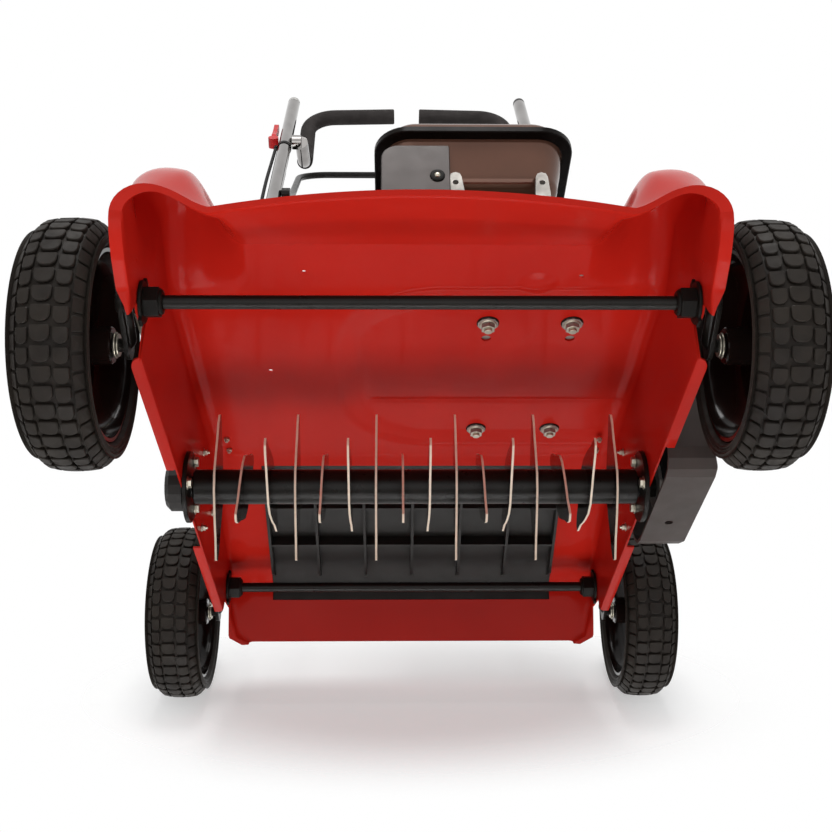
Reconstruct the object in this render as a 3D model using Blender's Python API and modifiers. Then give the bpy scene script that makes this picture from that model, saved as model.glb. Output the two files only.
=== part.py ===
"""Petrol lawn scarifier with a 38 cm working width, standing on its four wheels.

Metres, +Z up, front towards -Y, right-hand side towards +X.  The origin is on the ground at the
middle of the overall length and width.  Places along the machine are measured back from the front
wheel centre, and station() turns them into world Y.
"""

import math

import bmesh
import bpy
from mathutils import Matrix, Vector

# General clearances
GAP = 0.0003            # between pieces that touch
RUNNING = 0.0003        # round a shaft that turns

# Stance
FRONT_WHEEL_Y = -0.33375
DECK_HALF_WIDTH = 0.2185
WHEELBASE = 0.562
WHEEL_RADIUS = 0.100
WHEEL_WIDTH = 0.055
WHEEL_INNER_X = DECK_HALF_WIDTH + 0.0245
TYRE_WALL = 0.022
TREAD_DEPTH = 0.003
TREAD_BLOCKS = 16
RIM_BARREL = 0.003
RIM_HUB_RADIUS = 0.015

# Cranked axles
AXLE_RADIUS = 0.0055
CRANK_ARM = 0.040
CRANK_DROP = math.radians(22.0)
CRANK_X = DECK_HALF_WIDTH + 0.0110
LINK_RADIUS = 0.045
LINK_ANGLE = math.radians(72.0)
LINK_PLATE_X = DECK_HALF_WIDTH + 0.0130
LINK_PLATE = 0.0035
LINK_BAR = 0.003
LINK_BAR_WIDTH = 0.012
LINK_PIN_RADIUS = 0.004
DEPTH_LEVER_LENGTH = 0.30
QUADRANT_RADIUS = 0.130
QUADRANT_PLATE = 0.003

# Pressed deck
SHEET = 0.002
FRONT_CORNER_RADIUS = 0.030
CORNER_RADIUS = 0.015
REAR_CORNER_RADIUS = 0.007
LIP = 0.0095
LIP_STUB = 0.0002       # what is left of the lip where it is cut away
LIP_ROUNDING = 0.034
FRONT_LIP = 0.008
RIM_STATION = -0.120
CEILING_Z = 0.200
SKIRT_Z = 0.080
EAR_Z = 0.086           # tip of the wall in front of the axle
CREASE_STATION = -0.006  # between the sloping front panel and the level top
RIM_CENTRE_Z = 0.152
RIM_DIP_Z = 0.1345
RIM_DIP_X = 0.156
RIM_HUMP_Z = 0.154
RIM_HUMP_X = DECK_HALF_WIDTH - 0.0195
RIM_SIDE_Z = 0.126
DOME_TOP_Z = 0.244
DOME_STATION = -0.030   # highest place of the fender domes
DOME_END = 0.065
PLATFORM_RISE = 0.006
PLATFORM_LEFT_X = -0.055
PLATFORM_CORNER = 0.090
PLATFORM_FRONT = 0.055
PLATFORM_REAR = 0.335
SLOPE_START = 0.360
SLOPE_END = 0.562
SLOPE_END_Z = 0.135
APRON_END = SLOPE_END + 0.022
APRON_Z = 0.070
OPENING_HALF_WIDTH = DECK_HALF_WIDTH - 0.0425
OPENING_START = SLOPE_START + 0.012
OPENING_SILL_Z = 0.116

# Rotor
ROTOR_STATION = 0.223
ROTOR_Z = 0.090
ROTOR_TUBE_RADIUS = 0.0165
ROTOR_HALF_LENGTH = DECK_HALF_WIDTH - 0.0085
SHAFT_RADIUS = 0.010
KNIFE_COUNT = 16
KNIFE_PITCH = 0.025
KNIFE_SWING = 0.0695
KNIFE_WAIST = 0.030
KNIFE_PLATE = 0.002
KNIFE_STEP = math.radians(60.0)
KNIFE_FIRST = math.radians(111.0)
BEARING_RADIUS = 0.0195
BEARING_FLANGE = 0.034
BEARING_PLATE = 0.004
BEARING_BOLT_CIRCLE = 0.027

# Drive
ENGINE_SHAFT_STATION = 0.205
ENGINE_SHAFT_Z = 0.305
PULLEY_RADIUS = 0.0235
PULLEY_GROOVE = 0.006
PULLEY_X = DECK_HALF_WIDTH + 0.0090
PULLEY_WIDTH = 0.016
BELT_WIDTH = 0.0085
BELT_DEPTH = 0.0065
COVER_X = DECK_HALF_WIDTH + 0.0025
COVER_OUTER_X = DECK_HALF_WIDTH + 0.0465
COVER_FRONT = 0.128
COVER_REAR = 0.311
COVER_Z = 0.060
COVER_WALL = 0.0025
COVER_TOP_RADIUS = 0.062

# Engine
ENGINE_X = 0.105
CRANKCASE_HALF_X = 0.058
CRANKCASE_FRONT = 0.130
CRANKCASE_REAR = 0.280
CRANKCASE_TOP = 0.370
FOOT_HALF_LENGTH = 0.118
FOOT_THICK = 0.012
BOLT_SPREAD_X = 0.039
BOLT_SPREAD_Y = 0.096
BOLT_RADIUS = 0.004
BOLT_HEAD = 0.0075
WASHER_RADIUS = 0.0098
BOLT_STATION = 0.211
CYLINDER_TILT = math.radians(25.0)
CYLINDER_RADIUS = 0.037
FIN_RADIUS = 0.046
FIN_COUNT = 4
FIN_PITCH = 0.0175
TANK_X = 0.067
TANK_HALF_X = 0.110
TANK_FRONT = 0.163
TANK_REAR = 0.333
TANK_SEAM_Z = 0.496
TANK_TOP_Z = 0.528
TANK_BOTTOM_Z = 0.433
TANK_FLANGE = 0.011
TANK_WALL = 0.002
FILLER_RADIUS = 0.020
BLOWER_RADIUS = 0.090
BLOWER_DEPTH = 0.070
TANK_POST_X = (0.078, 0.128)
TANK_POST_STATION = 0.235
TANK_POST_RADIUS = 0.007
STARTER_RADIUS = 0.066
STARTER_DEPTH = 0.022
STARTER_ANGLE = math.radians(70.0)
STARTER_PULL = (-0.600, 0.300, 0.742)
LUG_X = (0.0447, 0.137)
BLOWER_DROP = 0.003
SHROUD_STATION = 0.1695
SHROUD_SHEET = 0.003

# Handle
LEG_X = DECK_HALF_WIDTH - 0.0290
LEG_RADIUS = 0.010
LEG_FOOT_Z = 0.218
LEG_TOP_Z = 1.046
LEG_TOP_STATION = 0.669
LEG_RUN = 0.4878        # run back per metre of height
PLUG_LENGTH = 0.012
GRIP_X = LEG_X - 0.0245
GRIP_TUBE_RADIUS = 0.010
FOAM_RADIUS = 0.0125
GRIP_GAP = 0.021
FOLD_Z = 0.885
BAIL_Z = 0.700
BAIL_RADIUS = 0.0055
BAIL_X = LEG_X - 0.0045
BAIL_END_X = LEG_X - 0.0160
BAIL_KNEE_STATION = 0.650
BAIL_KNEE_Z = 0.832
BAIL_TOP_STATION = 0.790
BAIL_TOP_Z = 1.000
BAIL_BEND = 0.050
BRACKET_HEIGHT = 0.068
CABLE_RADIUS = 0.0025

FRONT = math.radians(-90.0)


def clear_of(radius, sides):
    """Corner radius of a many-sided bore whose flats clear a round shaft."""
    return (radius + RUNNING) / math.cos(math.pi / sides)


def station(distance):
    """World Y of a place measured back from the front wheel centre."""
    return FRONT_WHEEL_Y + distance


def leg_station(z):
    """Distance back from the front wheel at which the handle leg passes a height."""
    return LEG_TOP_STATION - (LEG_TOP_Z - z) * LEG_RUN


AXLE_BACK = CRANK_ARM * math.cos(CRANK_DROP)
AXLE_Z = WHEEL_RADIUS + CRANK_ARM * math.sin(CRANK_DROP)
FRONT_AXLE = -AXLE_BACK
REAR_AXLE = WHEELBASE - AXLE_BACK


def clear_scene():
    for obj in list(bpy.data.objects):
        bpy.data.objects.remove(obj, do_unlink=True)
    for name in ("lawn_scarifier", "cutters"):
        old = bpy.data.collections.get(name)
        if old:
            bpy.data.collections.remove(old)


def new_collection(name):
    collection = bpy.data.collections.new(name)
    bpy.context.scene.collection.children.link(collection)
    return collection


clear_scene()
PARTS = new_collection("lawn_scarifier")
CUTTERS = new_collection("cutters")

FINISHES = {
    "deck_red": ((0.40, 0.014, 0.009), 0.28, 0.0),
    "lever_red": ((0.60, 0.022, 0.018), 0.40, 0.0),
    "black_paint": ((0.012, 0.012, 0.012), 0.35, 0.0),
    "black_plastic": ((0.016, 0.016, 0.017), 0.50, 0.0),
    "cover_grey": ((0.045, 0.041, 0.039), 0.55, 0.0),
    "zinc": ((0.62, 0.60, 0.54), 0.32, 1.0),
    "bright_steel": ((0.68, 0.67, 0.64), 0.25, 1.0),
    "cast_aluminium": ((0.52, 0.51, 0.49), 0.55, 1.0),
    "rubber": ((0.035, 0.030, 0.028), 0.85, 0.0),
    "foam": ((0.035, 0.033, 0.032), 0.90, 0.0),
    "rim_black": ((0.010, 0.009, 0.009), 0.22, 0.0),
    "muffler_steel": ((0.30, 0.28, 0.26), 0.45, 1.0),
}


def material(finish, part_name):
    colour, roughness, metallic = FINISHES[finish]
    mat = bpy.data.materials.new(part_name + "_" + finish)
    mat.use_nodes = True
    shader = mat.node_tree.nodes["Principled BSDF"]
    shader.inputs["Base Color"].default_value = (*colour, 1.0)
    shader.inputs["Roughness"].default_value = roughness
    shader.inputs["Metallic"].default_value = metallic
    return mat


def face_outwards(bm):
    """Turn a closed mesh's faces outwards."""
    bmesh.ops.recalc_face_normals(bm, faces=bm.faces)
    if bm.calc_volume(signed=True) < 0.0:
        bmesh.ops.reverse_faces(bm, faces=bm.faces)


def add_mesh(name, bm, collection):
    mesh = bpy.data.meshes.new(name)
    bm.to_mesh(mesh)
    bm.free()
    obj = bpy.data.objects.new(name, mesh)
    collection.objects.link(obj)
    return obj


def as_part(obj, finish):
    """Keep an object as a node, with its own material and smooth round faces."""
    obj.data.materials.clear()
    obj.data.materials.append(material(finish, obj.name))
    if obj.type == "MESH" and obj.data.polygons:
        obj.data.shade_smooth()
        obj.data.set_sharp_from_angle(angle=math.radians(35.0))
    return obj


def as_cutter(obj):
    for collection in list(obj.users_collection):
        collection.objects.unlink(obj)
    CUTTERS.objects.link(obj)
    obj.hide_render = True
    obj.display_type = "WIRE"
    return obj


def boolean(target, tool, operation="DIFFERENCE"):
    modifier = target.modifiers.new(operation.lower() + "_" + tool.name, "BOOLEAN")
    modifier.operation = operation
    modifier.solver = "EXACT"
    modifier.object = as_cutter(tool)
    return target


def bevel(obj, width, segments=2, angle=30.0):
    modifier = obj.modifiers.new("rounded_edges", "BEVEL")
    modifier.width = width
    modifier.segments = segments
    modifier.limit_method = "ANGLE"
    modifier.angle_limit = math.radians(angle)
    return obj


def block(name, low, high):
    """A box between two corners, with its mesh in world places."""
    bm = bmesh.new()
    size = [high[i] - low[i] for i in range(3)]
    middle = [(high[i] + low[i]) / 2 for i in range(3)]
    bmesh.ops.create_cube(bm, size=1.0)
    bmesh.ops.transform(bm, verts=bm.verts, matrix=Matrix.Translation(middle) @ Matrix.Diagonal((*size, 1.0)))
    return add_mesh(name, bm, PARTS)


def blocks(name, pairs):
    """Several separate boxes in one mesh."""
    bm = bmesh.new()
    for low, high in pairs:
        size = [high[i] - low[i] for i in range(3)]
        middle = [(high[i] + low[i]) / 2 for i in range(3)]
        placed = Matrix.Translation(middle) @ Matrix.Diagonal((*size, 1.0))
        bmesh.ops.create_cube(bm, size=1.0, matrix=placed)
    return add_mesh(name, bm, PARTS)


AXIS_TURN = {
    "X": Matrix.Rotation(math.radians(90.0), 4, "Y"),
    "Y": Matrix.Rotation(math.radians(-90.0), 4, "X"),
    "Z": Matrix.Identity(4),
}


def rods(name, places, axis="X", sides=16):
    """Separate cylinders in one mesh: (centre, radius, length) for each, along one axis."""
    bm = bmesh.new()
    for centre, radius, length in places:
        bmesh.ops.create_cone(bm, cap_ends=True, segments=sides, radius1=radius, radius2=radius,
                              depth=length, matrix=Matrix.Translation(centre) @ AXIS_TURN[axis])
    return add_mesh(name, bm, PARTS)


def rod_between(name, start, end, radius, sides=16):
    start = Vector(start)
    end = Vector(end)
    along = end - start
    turn = along.to_track_quat("Z", "Y").to_matrix().to_4x4()
    bm = bmesh.new()
    bmesh.ops.create_cone(bm, cap_ends=True, segments=sides, radius1=radius, radius2=radius,
                          depth=along.length, matrix=Matrix.Translation((start + end) / 2) @ turn)
    return add_mesh(name, bm, PARTS)


def turned(name, profile, place, axis="X", steps=32, closed=False):
    """A profile of (radius, height) points turned about an axis through a place.

    The points run down the outer side from the top.  A closed profile is a ring's section.
    """
    mesh = bpy.data.meshes.new(name)
    vertices = [(radius, 0.0, height) for radius, height in profile]
    edges = [(i, i + 1) for i in range(len(profile) - 1)]
    if closed:
        edges.append((len(profile) - 1, 0))
    mesh.from_pydata(vertices, edges, [])
    obj = bpy.data.objects.new(name, mesh)
    PARTS.objects.link(obj)
    obj.matrix_world = Matrix.Translation(place) @ AXIS_TURN[axis]
    screw = obj.modifiers.new("turned", "SCREW")
    screw.steps = steps
    screw.render_steps = steps
    screw.use_merge_vertices = True
    screw.merge_threshold = 0.00001
    screw.use_smooth_shade = True
    return obj


def outline_prism(name, outline, plane, centre, thickness):
    """A flat outline given thickness; plane says which two world axes the outline lies in."""
    curve = bpy.data.curves.new(name, "CURVE")
    curve.dimensions = "2D"
    curve.fill_mode = "BOTH"
    curve.extrude = thickness / 2
    for loop in outline:
        spline = curve.splines.new("POLY")
        spline.points.add(len(loop) - 1)
        for point, (u, v) in zip(spline.points, loop):
            point.co = (u, v, 0.0, 1.0)
        spline.use_cyclic_u = True
    obj = bpy.data.objects.new(name, curve)
    PARTS.objects.link(obj)
    turns = {
        "YZ": Matrix(((0, 0, 1, centre), (1, 0, 0, 0), (0, 1, 0, 0), (0, 0, 0, 1))),
        "XY": Matrix(((1, 0, 0, 0), (0, 1, 0, 0), (0, 0, 1, centre), (0, 0, 0, 1))),
        "XZ": Matrix(((1, 0, 0, 0), (0, 0, -1, centre), (0, 1, 0, 0), (0, 0, 0, 1))),
    }
    obj.matrix_world = turns[plane]
    return obj


def to_mesh(obj):
    """Make a curve object a welded mesh of the same name and place."""
    name = obj.name
    bpy.context.view_layer.update()
    evaluated = obj.evaluated_get(bpy.context.evaluated_depsgraph_get())
    mesh = bpy.data.meshes.new_from_object(evaluated)
    bm = bmesh.new()
    bm.from_mesh(mesh)
    bmesh.ops.remove_doubles(bm, verts=bm.verts, dist=0.00001)
    bm.transform(obj.matrix_world)
    face_outwards(bm)
    bm.to_mesh(mesh)
    bm.free()
    bpy.data.objects.remove(obj, do_unlink=True)
    made = bpy.data.objects.new(name, mesh)
    mesh.name = name
    PARTS.objects.link(made)
    return made


def plate(name, outline, plane, centre, thickness):
    return to_mesh(outline_prism(name, outline, plane, centre, thickness))


def tube(name, points, radius, resolution=2, capped=True):
    """A bent tube as a curve through its points."""
    curve = bpy.data.curves.new(name, "CURVE")
    curve.dimensions = "3D"
    curve.bevel_depth = radius
    curve.bevel_resolution = resolution
    curve.use_fill_caps = capped
    spline = curve.splines.new("POLY")
    spline.points.add(len(points) - 1)
    for point, place in zip(spline.points, points):
        point.co = (*place, 1.0)
    obj = bpy.data.objects.new(name, curve)
    PARTS.objects.link(obj)
    return obj


def arc(centre, radius, start, end, count):
    """Points of a circular arc in a plane, from one angle to another in degrees."""
    points = []
    for i in range(count + 1):
        angle = math.radians(start + (end - start) * i / count)
        points.append((centre[0] + radius * math.cos(angle), centre[1] + radius * math.sin(angle)))
    return points


def rounded_rectangle(low, high, radius, count=3):
    x0, y0 = low
    x1, y1 = high
    points = arc((x1 - radius, y0 + radius), radius, -90, 0, count)
    points += arc((x1 - radius, y1 - radius), radius, 0, 90, count)
    points += arc((x0 + radius, y1 - radius), radius, 90, 180, count)
    points += arc((x0 + radius, y0 + radius), radius, 180, 270, count)
    return points


def bent_path(corners, radius, count=4):
    """A path through its corners with each inner corner rounded."""
    corners = [Vector(corner) for corner in corners]
    path = [corners[0]]
    for before, corner, after in zip(corners, corners[1:], corners[2:]):
        into = (before - corner).normalized()
        out = (after - corner).normalized()
        half = into.angle(out) / 2
        reach = min(radius / math.tan(half), 0.49 * (before - corner).length, 0.49 * (after - corner).length)
        bend = reach * math.tan(half)
        middle = corner + (into + out).normalized() * (bend / math.sin(half))
        first = corner + into * reach - middle
        last = corner + out * reach - middle
        for i in range(count + 1):
            path.append(middle + first.slerp(last, i / count) * bend if bend else corner)
    path.append(corners[-1])
    return path


def smooth_step(value, low, high):
    t = min(1.0, max(0.0, (value - low) / (high - low)))
    return t * t * (3.0 - 2.0 * t)


def follow(value, knots):
    """Straight-line interpolation through (place, height) knots."""
    for (a, za), (b, zb) in zip(knots, knots[1:]):
        if value <= b:
            return za + (zb - za) * max(0.0, (value - a) / (b - a))
    return knots[-1][1]


# Deck surface

def arch_height(x):
    """The shallow arch of the front rim between the two humps."""
    across = min(abs(x), RIM_DIP_X)
    return RIM_DIP_Z + (RIM_CENTRE_Z - RIM_DIP_Z) * (1.0 - (across / RIM_DIP_X) ** 2)


def panel_height(x, place):
    """The front panel, sloping from the rim's arch up to the crease of the level top."""
    rise = min(1.0, max(0.0, (place - RIM_STATION) / (CREASE_STATION - RIM_STATION)))
    return arch_height(x) + (CEILING_Z - arch_height(x)) * rise


def platform_height(x, place):
    """The stamped engine platform, with wide round corners at its left end and soft sides."""
    half = (PLATFORM_REAR - PLATFORM_FRONT) / 2
    off = abs(place - PLATFORM_FRONT - half)
    in_x = max(0.0, PLATFORM_LEFT_X + PLATFORM_CORNER - x)
    in_y = max(0.0, off - half + PLATFORM_CORNER)
    if in_x > 0.0 and in_y > 0.0:
        edge = PLATFORM_CORNER - math.hypot(in_x, in_y)
    else:
        edge = min(x - PLATFORM_LEFT_X, half - off)
    return PLATFORM_RISE * smooth_step(edge, 0.0, 0.014)


def ridge_height(place):
    """Top line of the fender dome: up from the rim's hump, over, and down to the level top."""
    if place < DOME_STATION:
        share = math.sin(math.pi / 2 * (place - RIM_STATION) / (DOME_STATION - RIM_STATION))
        return RIM_HUMP_Z + (DOME_TOP_Z - RIM_HUMP_Z) * share
    return CEILING_Z + (DOME_TOP_Z - CEILING_Z) * (1.0 - smooth_step(place, DOME_STATION, DOME_END))


def dome_height(x, place):
    """How far the fender dome stands above the front panel and the level top."""
    across = smooth_step(abs(x), RIM_DIP_X - 0.004, RIM_HUMP_X)
    return across * (ridge_height(place) - panel_height(RIM_DIP_X, place))


def deck_top(x, place):
    """Outer height of the deck's top sheet."""
    if place < CREASE_STATION:
        flat = panel_height(x, place)
    else:
        flat = follow(place, ((CREASE_STATION, CEILING_Z), (SLOPE_START, CEILING_Z), (SLOPE_END, SLOPE_END_Z),
                              (APRON_END, APRON_Z)))
    return flat + dome_height(x, place) + platform_height(x, place)


def skirt_height(place):
    """Lower edge of the deck's side wall, with a notch over the front axle."""
    return follow(place, ((RIM_STATION, RIM_SIDE_Z), (-0.071, 0.102), (-0.058, EAR_Z), (-0.046, AXLE_Z - 0.018),
                          (-0.022, AXLE_Z - 0.018), (-0.008, SKIRT_Z), (0.508, SKIRT_Z), (0.516, 0.097),
                          (SLOPE_END, 0.105), (APRON_END, APRON_Z - 0.004)))


def half_width(place):
    """Half width of the deck's wall, drawn in at the apron's rounded corners."""
    return follow(place, ((RIM_STATION, DECK_HALF_WIDTH), (SLOPE_END + 0.006, DECK_HALF_WIDTH),
                          (APRON_END - 0.004, DECK_HALF_WIDTH - 0.009), (APRON_END, DECK_HALF_WIDTH - 0.024)))


def corner_radius(place):
    """Radius between the deck's top and side, wide at the front humps and tight at the rear axle."""
    return follow(place, ((RIM_STATION, 0.024), (-0.050, FRONT_CORNER_RADIUS), (0.040, CORNER_RADIUS),
                          (0.450, CORNER_RADIUS), (0.507, REAR_CORNER_RADIUS)))


def lip_width(place):
    """Width of the turned-out lip, rounded in plan into the front lip at the corners."""
    share = min(1.0, max(0.0, (place - RIM_STATION + FRONT_LIP) / LIP_ROUNDING))
    return LIP_STUB + (LIP - LIP_STUB) * max(0.10, math.sqrt(share * (2.0 - share)))


TOP_STEPS = (0.0, 0.25, 0.48, 0.68, 0.80, 0.90, 1.0)
ARC_STEPS = 3


def deck_section(place, lip):
    """Half section of the deck from its middle out to the lip, as (x, z) points."""
    wall = half_width(place)
    low = skirt_height(place)
    radius = corner_radius(place)
    inner = wall - radius
    points = [(inner * step, deck_top(inner * step, place)) for step in TOP_STEPS]
    crown = points[-1][1]
    drop = min(radius, 0.8 * (crown - low))
    for i in range(1, ARC_STEPS + 1):
        angle = math.pi / 2 * i / ARC_STEPS
        points.append((inner + radius * math.sin(angle), crown - drop * (1.0 - math.cos(angle))))
    points.append((wall, low))
    points.append((wall + lip, low))
    return points


def left_height(x, z, place):
    """Height on the left half, where the platform ends, for a point of the right half's section."""
    low = skirt_height(place)
    edge = half_width(place) - corner_radius(place)
    if x <= edge:
        return deck_top(-x, place)
    right = deck_top(edge, place)
    return z + (deck_top(-edge, place) - right) * (z - low) / (right - low)


def deck_stations():
    places = [RIM_STATION, -0.109, -0.090, -0.071, -0.058, -0.046, DOME_STATION, -0.022, CREASE_STATION, 0.012, 0.035,
              PLATFORM_FRONT, PLATFORM_FRONT + 0.014, 0.195, PLATFORM_REAR - 0.014, PLATFORM_REAR,
              SLOPE_START, 0.45, 0.507, 0.517, SLOPE_END, SLOPE_END + 0.010, APRON_END]
    return places


def deck_housing():
    """The pressed deck: one sheet from the front rim over the platform to the rear apron."""
    bm = bmesh.new()
    rows = []
    for place in [None] + deck_stations():
        y = station(RIM_STATION - FRONT_LIP) if place is None else station(place)
        if place is None:
            half = deck_section(RIM_STATION, lip_width(RIM_STATION - FRONT_LIP))
        else:
            half = deck_section(place, lip_width(place))
        section = []
        for side in (-1, 1):
            ordered = reversed(half) if side < 0 else half[1:]
            for x, z in ordered:
                height = z
                if side < 0 and place is not None:
                    height = left_height(x, z, place)
                section.append(bm.verts.new((side * x, y, height)))
        rows.append(section)
    for near, far in zip(rows, rows[1:]):
        for i in range(len(near) - 1):
            bm.faces.new((near[i], near[i + 1], far[i + 1], far[i]))
    deck = add_mesh("deck_housing", bm, PARTS)
    shell = deck.modifiers.new("sheet", "SOLIDIFY")
    shell.thickness = SHEET
    shell.offset = -1.0
    shell.use_even_offset = False

    lip_inner = DECK_HALF_WIDTH + LIP_STUB
    lip_outer = DECK_HALF_WIDTH + LIP + 0.010
    gaps = []
    for side in (-1, 1):
        xs = sorted((side * lip_inner, side * lip_outer))
        middle = 0.168 if side < 0 else COVER_FRONT - 0.001
        for start, end, low, high in ((-0.0585, -0.009, 0.070, 0.110), (middle, COVER_REAR + 0.024, 0.070, 0.090),
                                      (0.511, 0.590, 0.060, 0.115)):
            gaps.append(((xs[0], station(start), low), (xs[1], station(end), high)))
    gaps.append(((-OPENING_HALF_WIDTH, station(OPENING_START), OPENING_SILL_Z),
                 (OPENING_HALF_WIDTH, station(APRON_END + 0.02), 0.250)))
    boolean(deck, blocks("deck_notches", gaps))

    bores = []
    for side in (-1, 1):
        x = side * DECK_HALF_WIDTH
        for place in (FRONT_AXLE, REAR_AXLE):
            bores.append(((x, station(place), AXLE_Z), BUSHING_NECK + GAP, 0.030))
        bores.append(((x, station(ROTOR_STATION), ROTOR_Z), BEARING_RADIUS + GAP, 0.030))
    boolean(deck, rods("deck_bores", bores, "X", 16))
    mouths = []
    for side in (-1, 1):
        x = side * DECK_HALF_WIDTH
        reach = BEARING_RADIUS + GAP
        mouths.append(((x - 0.012, station(ROTOR_STATION) - reach, 0.060),
                       (x + 0.014, station(ROTOR_STATION) + reach, ROTOR_Z)))
    boolean(deck, blocks("bearing_mouths", mouths))
    holes = []
    for x, place in engine_bolt_places():
        holes.append(((x, station(place), CEILING_Z), BOLT_RADIUS + GAP, 0.04))
    boolean(deck, rods("bolt_holes", holes, "Z", 8))
    return as_part(deck, "deck_red")


def engine_bolt_places():
    for x in (-BOLT_SPREAD_X, BOLT_SPREAD_X):
        for y in (-BOLT_SPREAD_Y, BOLT_SPREAD_Y):
            yield ENGINE_X + x, BOLT_STATION + y


# Bushings and bearings

BUSHING_NECK = 0.0095
BUSHING_FLANGE = 0.017
BUSHING_BOSS = 0.013
WALL_INNER = DECK_HALF_WIDTH - SHEET


def bushing(name, side, place):
    """Plastic axle bushing: hex boss and flange inside the wall, neck through it, two lugs."""
    y = station(place)
    inner = WALL_INNER - GAP
    flange = rods(name, [((side * (inner - 0.0015), y, AXLE_Z), BUSHING_FLANGE, 0.003)], "X", 12)
    boss_length = 0.014
    boss = rods(name + "_boss", [((side * (inner - 0.0005 - boss_length / 2), y, AXLE_Z), BUSHING_BOSS,
                                  boss_length)], "X", 6)
    neck_length = SHEET + 0.005
    neck = rods(name + "_neck", [((side * (inner - 0.001 + neck_length / 2), y, AXLE_Z), BUSHING_NECK,
                                  neck_length)], "X", 16)
    low, high = sorted_corner((side * (inner - 0.0030), y - 0.004, AXLE_Z - 0.0205),
                              (side * (inner - 0.0001), y + 0.004, AXLE_Z + 0.0205))
    for piece in (boss, neck, block(name + "_lugs", low, high)):
        boolean(flange, piece, "UNION")
    bore = rods(name + "_bore", [((side * WALL_INNER, y, AXLE_Z), clear_of(AXLE_RADIUS, 8), 0.060)], "X", 8)
    boolean(flange, bore)
    return as_part(flange, "black_plastic")


def sorted_corner(a, b):
    low = tuple(min(p, q) for p, q in zip(a, b))
    high = tuple(max(p, q) for p, q in zip(a, b))
    return low, high


def rotor_bearing(name, side):
    """Flanged bearing: plate inside the wall, housing through the wall's slot."""
    inner = WALL_INNER - GAP
    bore = clear_of(SHAFT_RADIUS, 16)
    outer_end = DECK_HALF_WIDTH + 0.0015
    heights = (outer_end, inner, inner - BEARING_PLATE)
    profile = [(bore, heights[0]), (BEARING_RADIUS, heights[0]), (BEARING_RADIUS, heights[1]),
               (BEARING_FLANGE, heights[1]), (BEARING_FLANGE, heights[2]), (bore, heights[2])]
    if side < 0:
        profile = [(radius, -height) for radius, height in reversed(profile)]
    obj = turned(name, profile, (0.0, station(ROTOR_STATION), ROTOR_Z), "X", 16, closed=True)
    boolean(obj, bearing_bolts(name + "_bolts", side), "UNION")
    return as_part(obj, "black_paint")


def bearing_bolts(name, side):
    """Bolt heads on the inner face of a bearing's plate."""
    places = []
    length = 0.004
    x = side * (WALL_INNER - GAP - BEARING_PLATE - length / 2 + 0.0005)
    for angle in (90.0, 200.0, 340.0):
        turn = math.radians(angle)
        places.append(((x, station(ROTOR_STATION) + BEARING_BOLT_CIRCLE * math.cos(turn),
                        ROTOR_Z + BEARING_BOLT_CIRCLE * math.sin(turn)), 0.0048, length + 0.0005))
    return rods(name, places, "X", 6)


def bearing_cap():
    """Round cap over the outer end of the left bearing."""
    radius = BEARING_RADIUS + 0.0035
    wall = 0.002
    start = DECK_HALF_WIDTH + LIP_STUB + GAP
    end = start + 0.016
    profile = [(0.0, wall - end), (radius - wall, wall - end), (radius - wall, -start),
               (radius, -start), (radius, -end + 0.004), (radius - 0.004, -end), (0.0, -end)]
    obj = turned("bearing_cap_left", profile, (0.0, station(ROTOR_STATION), ROTOR_Z), "X", 16)
    return as_part(obj, "black_plastic")


# Running gear

def axle_rod(name, place, lever_length):
    """One cranked axle: a bent rod with stubs, washers and nuts, and the plate for the link bar."""
    y = station(place)
    wheel_y = y + AXLE_BACK
    stub_end = WHEEL_INNER_X + WHEEL_WIDTH - 0.004
    corners = [(-stub_end, wheel_y, WHEEL_RADIUS), (-CRANK_X, wheel_y, WHEEL_RADIUS), (-CRANK_X, y, AXLE_Z),
               (CRANK_X, y, AXLE_Z), (CRANK_X, wheel_y, WHEEL_RADIUS), (stub_end, wheel_y, WHEEL_RADIUS)]
    rod = to_mesh(tube(name, bent_path(corners, 0.007, 2), AXLE_RADIUS, 1))
    collars = []
    for side in (-1, 1):
        inner = WHEEL_INNER_X - 0.0010
        collars.append(((side * (inner - 0.0020), wheel_y, WHEEL_RADIUS), 0.0105, 0.003))
        nut = WHEEL_INNER_X + HUB_OUTER + GAP
        collars.append(((side * (nut + 0.0035), wheel_y, WHEEL_RADIUS), 0.0095, 0.007))
    boolean(rod, rods(name + "_nuts", collars, "X", 6), "UNION")
    tip = lever_length
    side_x = -(LINK_PLATE_X + LINK_PLATE / 2)
    along = (math.cos(LINK_ANGLE), math.sin(LINK_ANGLE))
    across = (-along[1], along[0])
    half = 0.008
    outline = []
    for angle in range(0, 181, 45):
        turn = math.radians(angle)
        outline.append((y + along[0] * tip + half * (across[0] * math.cos(turn) + along[0] * math.sin(turn)),
                        AXLE_Z + along[1] * tip + half * (across[1] * math.cos(turn) + along[1] * math.sin(turn))))
    for angle in range(180, 361, 45):
        turn = math.radians(angle)
        outline.append((y + half * (across[0] * math.cos(turn) + along[0] * math.sin(turn)),
                        AXLE_Z + half * (across[1] * math.cos(turn) + along[1] * math.sin(turn))))
    boolean(rod, plate(name + "_plate", [outline], "YZ", side_x, LINK_PLATE), "UNION")
    pin_length = LINK_PLATE + LINK_BAR + 0.001
    pin = rods(name + "_pin", [((-(LINK_PLATE_X + 0.001 + pin_length / 2), y + along[0] * LINK_RADIUS,
                                 AXLE_Z + along[1] * LINK_RADIUS), LINK_PIN_RADIUS, pin_length)], "X", 8)
    boolean(rod, pin, "UNION")
    return as_part(rod, "black_paint")


def link_pin(place):
    """World (y, z) of the link pin of the axle at a station."""
    return (station(place) + LINK_RADIUS * math.cos(LINK_ANGLE), AXLE_Z + LINK_RADIUS * math.sin(LINK_ANGLE))


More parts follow.
